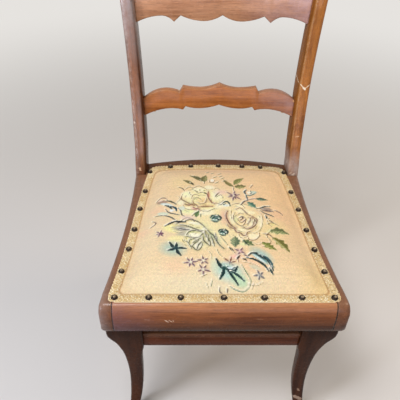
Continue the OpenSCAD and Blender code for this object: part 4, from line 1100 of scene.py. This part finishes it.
    leaf(27, -88, 24, -118, 20, "#5C7052", "#8A9C74", teeth=0.15)
    leaf(40, -98, 64, -112, 15, "#54663E", "#82945E", teeth=0.25)
    line([(42, -98), (52, -112)], 3.4, "#2C4A34")
    flower(34, -128, 12, "#8C5A78", 4, 60, "#EBC4C8")
    line([(40, -136), (48, -141)], 3.4, "#8A5C70")
    patch(24, -142, 16, 9, "#F2C0B4", 0.8, soft=0.8)
    line([(26, -148), (32, -139)], 4.0, "#46322C")
    line([(38, -146), (45, -150)], 4.0, "#4A3A34")
    patch(76, -136, 34, 16, "#A8C8C0", 0.9, turn=-42, soft=0.8)
    patch(73, -144, 28, 8, "#4E8688", 0.85, turn=-42, soft=0.6)
    patch(70, -146, 24, 3.5, "#D3E6E2", 1.0, turn=-42, soft=0.5)
    line([(50, -138), (57, -132), (66, -133), (74, -141), (84, -148), (90, -158), (95, -172)],
         4.8, "#0C2E32")
    line([(72, -136), (84, -143), (92, -154), (96, -166)], 4.2, "#2C6A74")
    line([(78, -140), (86, -150)], 3.4, "#0E3438")
    line([(46, -144), (58, -147), (70, -154), (80, -163), (86, -174)], 4.6, "#10302E")
    line([(88, -168), (94, -180)], 4.2, "#1C4648")
    flower(12, -156, 13, "#A8644E", 6, 15, "#5A4650")
    patch(2, -160, 8, 6, "#EBD9D2", 0.8)
    patch(8, -174, 38, 24, "#B9D6C6", 0.95, turn=-14, soft=0.55)
    patch(2, -168, 18, 11, "#7FAAA2", 0.7, turn=-30, soft=0.8)
    patch(28, -190, 24, 14, "#C0DAB4", 0.95, turn=-30, soft=0.5)
    patch(-18, -160, 12, 22, "#D5E2C4", 0.7, turn=10, soft=0.8)
    line([(-14, -147), (-10, -158), (-4, -166), (2, -170)], 6.2, "#0C3438", lit=0.2)
    line([(-1, -167), (10, -172), (20, -174), (26, -165)], 6.0, "#0F3C40", lit=0.2)
    line([(0, -167), (-2, -178), (-8, -188)], 6.0, "#12403E", lit=0.2)
    line([(6, -171), (14, -182), (26, -198)], 5.0, "#0F3C3A", lit=0.2)
    patch(0, -168, 7, 5, "#0F3C3A", 0.9, soft=0.6)
    line([(14, -175), (26, -182), (38, -192)], 4.6, "#1B4C4C", lit=0.6)
    line([(6, -164), (14, -170), (22, -166)], 3.0, "#3F6470")
    patch(12, -168, 6, 3, "#DCEBEC", 0.9)
    line([(34, -160), (40, -172), (50, -190), (48, -202)], 2.4, "#7FA070", 0.9)
    line([(48, -202), (36, -210), (20, -206), (10, -200)], 2.4, "#6FA08C", 0.9)
    line([(-8, -202), (-9, -210), (-5, -214)], 2.8, "#54443E")
    line([(6, -204), (5, -212)], 2.8, "#6A5A50")
    line([(-44, -186), (-32, -180)], 2.0, "#B0A070", 0.8)
    line([(-34, -196), (-30, -204)], 2.0, "#B9A878", 0.8)
    line([(-22, -190), (-26, -202)], 2.0, "#9FB088", 0.8)
    flower(68, -182, 10, "#7C7A86", 5, 40, SMOKE)
    patch(60, -166, 14, 5, "#C9D0B4", 0.6, turn=-20)
    line([(38, -154), (54, -158), (70, -166)], 2.0, "#BFA070", 0.7)
    line([(58, -196), (52, -206)], 2.0, "#C9A87E", 0.6)
    line([(46, -196), (60, -200), (76, -194)], 1.8, "#C9AE84", 0.6)


# %% [markdown]
# Now the marks are worked in their order: the ground, a brown line along the braid's inner edge, the
# roses, the curved stitches over them, and the sprays. Wear comes last, so each row of stitches and each
# stitch is a little lighter or darker than its neighbours. The seeds are fixed, so it comes out the same.

# %% Work the picture
BRAID_LINE_REACH = 3.0
BRAID_LINE_EDGE = 1.6
ROW_WEAR = 0.008
STITCH_WEAR = 0.022
WOOL_WEAR = 0.006

ground_shades()
braid_side = KDTree(len(inner_edge))
for i, (x, y) in enumerate(inner_edge):
    braid_side.insert((x / MM, y / MM, 0), i)
braid_side.balance()
to_braid_side = np.array([braid_side.find((x, y, 0))[2] for x, y in zip(stitch_x, stitch_y)])
# A brown line along the braid's inner edge, darker the nearer a stitch is to it.
lay((BRAID_LINE_REACH - to_braid_side) / BRAID_LINE_EDGE * 0.4, "#A87848")
cream_rose()
ivory_rose()
blush_rose()
petal_stitches()
sprays()
wear = np.random.default_rng(7)
row_number = np.round(stitch_y * MM / STITCH).astype(int)
row_number -= row_number.min()
row_shade = wear.normal(0, ROW_WEAR, row_number.max() + 1)
picture *= (1 + row_shade[row_number] + wear.normal(0, STITCH_WEAR, len(stitch_x)))[:, None]
picture += wear.normal(0, WOOL_WEAR, picture.shape)
picture = np.clip(picture, 0, 1)
print("the bouquet is worked over", len(picture), "stitches")

# %% [markdown]
# ## The cover
# The worked canvas is stretched over the pad and tacked down flat under the gimp. Each corner of the
# grid takes its height from the pad just below it, and the heights are then evened out, as tight
# canvas does, but never to less than the pad's own. A thickness modifier makes it a closed sheet.

# %% Needlepoint finish
def needlepoint_wool():
    """Wool tent stitch: matt, slightly furry, with a slanting bump in each square of the canvas."""
    made, tree, shader, place = new_finish("needlepoint_wool")
    colour = add(tree, "ShaderNodeAttribute", out="Color", attribute_name="wool")

    def wave(value):
        """From 0 at a stitch's edge to 1 at its middle."""
        turns = add(tree, "MULTIPLY", value, math.pi / STITCH)
        return add(tree, "ABSOLUTE", add(tree, "SINE", turns))

    slant = add(tree, "SUBTRACT", add(tree, "X", place), add(tree, "Y", place))
    stitch = add(tree, "MULTIPLY", wave(slant), wave(add(tree, "Y", place)))
    # The grooves between stitches are painted darker, as shade, besides the bump.
    shade = add(tree, "range", stitch, 0.0, 0.8, 0.8, 1.04)
    height = add(tree, "ADD", stitch, add(tree, "noise", place, repeats(0.9)))
    fill(tree, shader, {
        "Base Color": add(tree, "tint", 1.0, colour, shade), "Roughness": 0.9,
        "Sheen Weight": 0.15, "Sheen Roughness": 0.5, "Specular IOR Level": 0.25,
        "Normal": add(tree, "bump", height, 0.5 * MM, 0.7)})
    return made


# %% The cover's shape
COVER_THICK = 1.2 * MM
PAD_GAP = 0.4 * MM
UNDER_GIMP = 1.6 * MM
COVER_ROUNDS = 60
MOST_SUNK = 0.1 * MM
OVER_SEAT = 0.6
flat_level = braid_top - UNDER_GIMP
pad_tree = BVHTree.FromObject(stuffing, bpy.context.evaluated_depsgraph_get())
lowest = np.full((len(grid_y), len(grid_x)), flat_level)
for j, y in enumerate(grid_y):
    for i, x in enumerate(grid_x):
        hit = pad_tree.ray_cast(Vector((x, y, OVER_SEAT)), Vector((0, 0, -1)))[0]
        if hit is not None:
            lowest[j, i] = max(hit.z + COVER_THICK + PAD_GAP, flat_level)
height = lowest.copy()
for _ in range(COVER_ROUNDS):
    around = (np.roll(height, 1, 0) + np.roll(height, -1, 0) + np.roll(height, 1, 1)
              + np.roll(height, -1, 1)) / 4
    height = np.maximum(around, lowest - MOST_SUNK)
height = np.minimum(height, model_box[1].z)
used = np.zeros(height.shape, bool)
for dj in (0, 1):
    for di in (0, 1):
        used[dj:dj + kept.shape[0], di:di + kept.shape[1]] |= kept
number = np.full(height.shape, -1)
number[used] = np.arange(used.sum())
where_y, where_x = np.nonzero(used)
points = np.stack([grid_x[where_x], grid_y[where_y], height[used]], 1)
face_y, face_x = np.nonzero(kept)
faces = np.stack([number[face_y, face_x], number[face_y, face_x + 1],
                  number[face_y + 1, face_x + 1], number[face_y + 1, face_x]], 1)
cover = plain_mesh("needlepoint_seat_cover", points, faces.tolist(), needlepoint_wool())
wool_layer = cover.data.attributes.new("wool", "FLOAT_COLOR", "FACE")
rgba = np.concatenate([to_linear(picture), np.ones((len(picture), 1))], 1)
wool_layer.data.foreach_set("color", rgba.astype(np.float32).ravel())
thickened(cover, COVER_THICK)
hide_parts("needlepoint_cover")
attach(cover, "root")
print("cover crown:", round((height[used].max() - flat_level) / MM, 1), "mm")

# %% [markdown]
# ## The gimp braid
# Gimp is a narrow upholsterer's braid that hides the canvas edge: a flat ribbon with cords looped
# along it, which give its scalloped edges. It follows the seat's outline, so a Geometry Nodes tree
# makes it: the path is resampled, each cord waves from side to side and up and down along it, and a
# small round section is swept along each.

# %% Gimp finish
def gold_gimp():
    """Cotton and rayon thread: gold with pale and brown flecks where the cords are twisted."""
    made, tree, shader, place = new_finish("gold_gimp")
    twist = add(tree, "ShaderNodeTexVoronoi", {"Vector": place, "Scale": repeats(1.5)}).node.outputs
    fade = add(tree, "noise", place, repeats(30), 3)
    fleck = add(tree, "ShaderNodeSeparateColor", twist["Color"]).node.outputs
    thread = add(tree, "mix", add(tree, "range", fade, 0.35, 0.65), linear("#CDAE70"), linear("#DFC894"))
    thread = add(tree, "mix", add(tree, "range", fleck["Red"], 0.62, 0.9), thread, linear("#F3EAC8"))
    dark = add(tree, "range", fleck["Green"], 0.74, 0.95, 0, 0.7)
    fill(tree, shader, {
        "Base Color": add(tree, "mix", dark, thread, linear("#AE8848")), "Roughness": 0.68,
        "Sheen Weight": 0.25, "Normal": add(tree, "bump", twist["Distance"], 0.35 * MM)})
    return made


# %% Gimp shape
SCALLOP = 6.4 * MM
STEPS_EACH_SCALLOP = 10
RIBBON_STEPS = 520
BRAID_ROUNDS = 10
BRAID_SPARE = 0.3 * MM
# Each cord: [middle, swing, turns for each scallop, start of its swing, rise, lift in radii]
CORDS = ((0.86, 0.14, 2, 0.0, 0.0, 0.9), (-0.86, -0.14, 2, 0.0, 0.0, 0.9),
         (0.0, 0.72, 1, 0.0, 0.5, 1.5), (0.0, 0.72, 1, math.pi, -0.5, 1.5))


def braid_tree():
    """The tree that sweeps the braid's cords and its flat ribbon along a path."""
    tree, start = new_growth("gimp_braid", Path="Geometry", Width="Float", Cord_Radius="Float",
                             Ribbon_Thickness="Float", Scallops="Float", Finish="Material")

    def product(*values):
        result = values[0]
        for value in values[1:]:
            result = add(tree, "MULTIPLY", result, value)
        return result

    def swept(path, offset, section):
        moved = add(tree, "GeometryNodeSetPosition", {"Geometry": path, "Offset": offset})
        return add(tree, "GeometryNodeCurveToMesh", {"Curve": moved, "Profile Curve": section})

    path = add(tree, "GeometryNodeMeshToCurve", start["Path"])
    fine = add(tree, "GeometryNodeResampleCurve", {
        "Curve": path, "Count": product(start["Scallops"], STEPS_EACH_SCALLOP)}, mode="COUNT")
    coarse = add(tree, "GeometryNodeResampleCurve", {"Curve": path, "Count": RIBBON_STEPS}, mode="COUNT")
    share = add(tree, "GeometryNodeSplineParameter", out="Factor")
    out_way = add(tree, "ShaderNodeVectorMath", add(tree, "GeometryNodeInputTangent"), (0, 0, 1),
                  operation="CROSS_PRODUCT")
    half = add(tree, "SUBTRACT", product(start["Width"], 0.5), start["Cord Radius"])
    angle = product(share, start["Scallops"], math.pi)
    round_section = add(tree, "GeometryNodeCurvePrimitiveCircle", {
        "Resolution": 6, "Radius": start["Cord Radius"]}, mode="RADIUS")
    joined = tree.nodes.new("GeometryNodeJoinGeometry")
    for middle, swing, turns, phase, rise, lift in CORDS:
        swing_angle = add(tree, "MULTIPLY_ADD", angle, turns, phase)
        side = product(add(tree, "MULTIPLY_ADD", add(tree, "SINE", swing_angle), swing, middle), half)
        raise_by = product(add(tree, "MULTIPLY_ADD", add(tree, "COSINE", swing_angle), rise, lift),
                           start["Cord Radius"])
        move = add(tree, "ShaderNodeVectorMath", add(tree, "scaled", out_way, side),
                   add(tree, "ShaderNodeCombineXYZ", {"Z": raise_by}), operation="ADD")
        fill(tree, joined, {0: swept(fine, move, round_section)})
    flat_section = add(tree, "GeometryNodeCurvePrimitiveQuadrilateral", {
        "Width": product(half, 1.8), "Height": start["Ribbon Thickness"]})
    lifted = add(tree, "ShaderNodeCombineXYZ", {"Z": product(start["Ribbon Thickness"], 0.5)})
    fill(tree, joined, {0: swept(coarse, lifted, flat_section)})
    real = add(tree, "GeometryNodeRealizeInstances", joined.outputs[0])
    smooth = add(tree, "GeometryNodeSetShadeSmooth", {"Geometry": real})
    return ended(tree, add(tree, "GeometryNodeSetMaterial", {
        "Geometry": smooth, "Material": start["Finish"]}))


def grown(name, points, edges, tree, values):
    """A piece that a Geometry Nodes tree grows from points or a path, as a plain mesh."""
    piece = plain_mesh(name, points, [], edges=edges)
    grow = piece.modifiers.new("grow", "NODES")
    grow.node_group = tree
    for item in tree.interface.items_tree:
        if item.in_out == "INPUT" and item.name in values:
            grow[item.identifier] = values[item.name]
    flatten(piece)
    return piece


braid_middle = eased_loop(inward(outer_edge, braid_width / 2), BRAID_ROUNDS)
braid_length = length_of(braid_middle)
scallops = float(2 * round(braid_length / SCALLOP / 2))
braid_points = [(x, y, flat_level) for x, y in braid_middle]
braid_edges = [(i, (i + 1) % len(braid_points)) for i in range(len(braid_points))]
braid = grown("gimp", braid_points, braid_edges, braid_tree(), {
    "Width": float(braid_width) - BRAID_SPARE, "Cord Radius": 1.05 * MM, "Ribbon Thickness": 0.9 * MM,
    "Scallops": scallops, "Finish": gold_gimp()})
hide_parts("gimp_braid")
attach(braid, "root")
print("gimp:", round(braid_length / MM), "mm long,", int(scallops), "scallops")

# %% [markdown]
# ## The nails
# Two dozen domed nails hold the gimp. Their antique finish is dark in the recess round the rim and
# rubbed lighter on the dome. One nail is turned as a lathe would, and a Geometry Nodes tree sets it
# at each place that the model gives, a little crooked here and there, as a hammer leaves them.

# %% Antique bronze
def antique_bronze():
    """Bronzed steel: dark brown in the recess, rubbed to a soft dull gold on the dome."""
    made, tree, shader, place = new_finish("antique_bronze")
    level = add(tree, "Z", add(tree, "ShaderNodeNewGeometry", out="Normal"))
    spots = add(tree, "noise", place, repeats(2.2), 4, 0.6)
    rubbed = add(tree, "MULTIPLY", add(tree, "range", level, 0.86, 0.99),
                 add(tree, "range", spots, 0.35, 0.6))
    metal = add(tree, "mix", add(tree, "range", spots, 0.35, 0.65), linear("#1C1612"), linear("#40342A"))
    fill(tree, shader, {
        "Base Color": add(tree, "mix", rubbed, metal, linear("#B9A688")), "Metallic": 0.85,
        "Roughness": add(tree, "range", spots, 0.3, 0.7, 0.3, 0.5),
        "Normal": add(tree, "bump", spots, 0.08 * MM)})
    return made


# %% Places and sizes from the model
def solids_of(node):
    """The corner points of each separate solid in a node, in the node's own order."""
    bm = welded(node)
    left, groups = set(bm.verts), []
    for first in bm.verts:
        if first not in left:
            continue
        left.remove(first)
        reach, stack = [], [first]
        while stack:
            v = stack.pop()
            reach.append(tuple(v.co))
            for e in v.link_edges:
                other = e.other_vert(v)
                if other in left:
                    left.remove(other)
                    stack.append(other)
        groups.append(np.array(reach))
    bm.free()
    return groups


nail_solids = solids_of("decorative_nails")
nail_radius = max(np.ptp(s[:, 0]) for s in nail_solids) / 2
nail_tip = min(s[:, 2].min() for s in nail_solids)
nail_top = max(s[:, 2].max() for s in nail_solids)
nail_places = [((s[:, 0].min() + s[:, 0].max()) / 2, (s[:, 1].min() + s[:, 1].max()) / 2, braid_top)
               for s in nail_solids]
print("nails:", len(nail_places), "with heads", round(2 * nail_radius / MM, 1), "mm wide")

# %% One nail and the tree that sets them
DOME_SHARE = 1.55
RIM_SHARE = 1.12
SHANK_RADIUS = 0.9 * MM
TIP_RADIUS = 0.5 * MM
TURNED_SIDES = 28


def turned_nail():
    """One nail: a shank, a rolled rim and a dome, turned about its axis."""
    dome = (nail_top - braid_top) * DOME_SHARE
    rim = nail_radius * RIM_SHARE
    tip = nail_tip - braid_top
    profile = [(TIP_RADIUS, tip), (SHANK_RADIUS, tip + 2 * MM), (SHANK_RADIUS, 0)]
    profile += [(rim * r, dome * z)
                for r, z in ((0.9, 0), (0.99, 0.05), (1, 0.13), (0.97, 0.2), (0.92, 0.2))]
    profile += [(rim * 0.91 * math.cos(a), dome * (0.2 + 0.8 * math.sin(a)))
                for a in np.radians([12, 26, 40, 54, 68, 80])]
    turns = [2 * math.pi * k / TURNED_SIDES for k in range(TURNED_SIDES)]
    points = [(r * math.cos(a), r * math.sin(a), z) for r, z in profile for a in turns]
    top = len(points)
    points += [(0, 0, dome), (0, 0, tip)]
    sides = [(k, (k + 1) % TURNED_SIDES) for k in range(TURNED_SIDES)]
    rings = range(0, top, TURNED_SIDES)
    faces = [(low + k, low + ahead, high + ahead, high + k)
             for low, high in zip(rings, rings[1:]) for k, ahead in sides]
    faces += [(rings[-1] + k, rings[-1] + ahead, top) for k, ahead in sides]
    faces += [(ahead, k, top + 1) for k, ahead in sides]
    return plain_mesh("one_nail", points, faces)


def nailing_tree():
    """The tree that sets one nail at each place, each a little crooked and uneven."""
    tree, start = new_growth("nailing", Places="Geometry", Crooked="Float", Uneven="Float", Nail="Object",
                             Finish="Material")
    one = add(tree, "GeometryNodeObjectInfo", {"Object": start["Nail"]}, out="Geometry")
    crooked = add(tree, "ShaderNodeCombineXYZ", start["Crooked"], start["Crooked"], math.pi)
    lean = add(tree, "FunctionNodeRandomValue", {
        0: add(tree, "scaled", crooked, -1.0), 1: crooked, "Seed": 3}, data_type="FLOAT_VECTOR")
    size = add(tree, "FunctionNodeRandomValue", {
        2: add(tree, "SUBTRACT", 1.0, start["Uneven"]), 3: 1.0, "Seed": 8}, out=1, data_type="FLOAT")
    set_in = add(tree, "GeometryNodeInstanceOnPoints", {
        "Points": start["Places"], "Instance": one, "Rotation": lean, "Scale": size})
    real = add(tree, "GeometryNodeRealizeInstances", set_in)
    return ended(tree, add(tree, "GeometryNodeSetMaterial", {
        "Geometry": real, "Material": start["Finish"]}))


one_nail = turned_nail()
nails = grown("domed_nails", nail_places, [], nailing_tree(), {
    "Crooked": math.radians(2.0), "Uneven": 0.05, "Nail": one_nail, "Finish": antique_bronze()})
bpy.data.objects.remove(one_nail)
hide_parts("decorative_nails")
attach(nails, "root")

# %% [markdown]
# ## Webbing and hessian
# Four jute straps run from front to back and four from side to side, tacked in rebates in the frame,
# with a hessian sheet over them. Each strap is a strip between the ends that the model gives. Jute
# webbing has a plain weave with a dark stripe near each edge, and hessian has an open one.

# %% Woven finishes
STRAP_WIDE = 50 * MM
STRIPE_PLACE = 0.34


def woven(name, low, high, thread_mm, stripe=None, across="X", middles=()):
    """A plain weave: threads over and under each other in both ways, and stripes along the straps."""
    made, tree, shader, place = new_finish(name)
    turns = math.pi * repeats(thread_mm)
    weave = add(tree, "MULTIPLY", *(add(tree, "SINE", add(tree, "MULTIPLY", add(tree, axis, place), turns))
                                    for axis in "XY"))
    slubs = add(tree, "noise", place, repeats(thread_mm * 1.6), 3)
    jute = add(tree, "mix", add(tree, "range", slubs, 0.35, 0.68), linear(low), linear(high))
    # Where the threads dip under each other the colour is painted darker, as shade.
    jute = add(tree, "tint", 1.0, jute, add(tree, "range", weave, -1, 1, 0.62, 1.08))
    if stripe:
        nearest = STRAP_WIDE
        for middle in middles:
            away = add(tree, "ABSOLUTE", add(tree, "SUBTRACT", add(tree, across, place), middle))
            nearest = add(tree, "MINIMUM", nearest, away)
        line_at = add(tree, "ABSOLUTE", add(tree, "SUBTRACT", nearest, STRAP_WIDE * STRIPE_PLACE))
        striped = add(tree, "range", line_at, 2.2 * MM, 1.2 * MM, 0, 0.8)
        jute = add(tree, "mix", striped, jute, linear(stripe))
    fill(tree, shader, {
        "Base Color": jute, "Roughness": 0.9, "Sheen Weight": 0.1,
        "Normal": add(tree, "bump", weave, thread_mm * 0.2 * MM)})
    return made


# %% Strips between a plan's edges
PLAN_INSET = 0.002


def ends_at(plan, value, axis):
    """Where a line across a plan outline goes in and out of it."""
    other = 1 - axis
    crossings = []
    for p, q in zip(plan, np.roll(plan, -1, 0)):
        if (p[axis] - value) * (q[axis] - value) <= 0 and p[axis] != q[axis]:
            crossings.append(p[other] + (q[other] - p[other]) * (value - p[axis]) / (q[axis] - p[axis]))
    return min(crossings), max(crossings)


def hull(points):
    """The outline round a solid, seen from above."""
    ordered = sorted({(round(float(x), 6), round(float(y), 6)) for x, y, _ in points})
    halves = []
    for way in (ordered, ordered[::-1]):
        half = []
        for p in way:
            while len(half) > 1 and ((half[-1][0] - half[-2][0]) * (p[1] - half[-2][1])
                                     - (half[-1][1] - half[-2][1]) * (p[0] - half[-2][0])) <= 0:
                half.pop()
            half.append(p)
        halves += half[:-1]
    return np.array(halves)


def strip_points(plan, axis, steps_across, steps_along, level, sway):
    """Rows of points over a plan outline, each row running from end to end of it."""
    low, high = plan[:, axis].min(), plan[:, axis].max()
    rows = []
    for k in range(steps_across + 1):
        value = low + (high - low) * (PLAN_INSET + (1 - 2 * PLAN_INSET) * k / steps_across)
        a, b = ends_at(plan, value, axis)
        row = []
        for i in range(steps_along + 1):
            place = a + (b - a) * i / steps_along
            z = level + sway * math.sin(i * 0.55 + k * 0.2)
            row.append((value, place, z) if axis == 0 else (place, value, z))
        rows.append(row)
    return rows


def woven_sheets(name, plans, axis, top, thickness, steps, sway, finish):
    """One piece of one or more cloth strips, each over its own plan."""
    points, faces = [], []
    for plan in plans:
        rows = strip_points(plan, axis, *steps, top, sway)
        wide, first = len(rows[0]), len(points)
        points += [p for row in rows for p in row]
        for k in range(len(rows) - 1):
            for i in range(wide - 1):
                a = first + k * wide + i
                face = (a, a + wide, a + wide + 1, a + 1)
                faces.append(face if axis == 0 else face[::-1])
    made = plain_mesh(name, points, faces, finish)
    thickened(made, thickness)
    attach(made, "root")
    return made


# %% Straps and sheet
STRAP_THREAD_MM = 3.0
HESSIAN_THREAD_MM = 2.4
STRAP_STEPS = (10, 60)
HESSIAN_STEPS = (60, 60)
STRAP_SWAY = 0.1 * MM
STRAP_SUNK = 0.12 * MM
STRAP_THINNER = 0.3 * MM
for name, node, axis in (("jute_straps_lengthwise", "webbing_front_to_back", 0),
                         ("jute_straps_crosswise", "webbing_side_to_side", 1)):
    plans = [hull(s) for s in solids_of(node)]
    low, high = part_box(node)
    middles = [float(p[:, axis].min() + p[:, axis].max()) / 2 for p in plans]
    finish = woven(name + "_jute", "#8C6C43", "#BC9A68", STRAP_THREAD_MM, "#4A3424", "XY"[axis],
                   middles=middles)
    straps = woven_sheets(name, plans, axis, high.z - STRAP_SUNK, (high.z - low.z) - STRAP_THINNER,
                          STRAP_STEPS, STRAP_SWAY, finish)
    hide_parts(node)

low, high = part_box("hessian_sheet")
hessian_plan = top_loops("hessian_sheet")[0][0]
hessian = woven_sheets("hessian", [hessian_plan], 1, high.z, (high.z - low.z), HESSIAN_STEPS, 0.0,
                       woven("open_hessian", "#A08458", "#CDB587", HESSIAN_THREAD_MM))
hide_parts("hessian_sheet")

# %% [markdown]
# ## Sizes
# The model's box is printed. The dressed chair has to keep the model's size.

# %% Print the model's box
print("model:", [[round(c, 3) for c in p] for p in model_box])
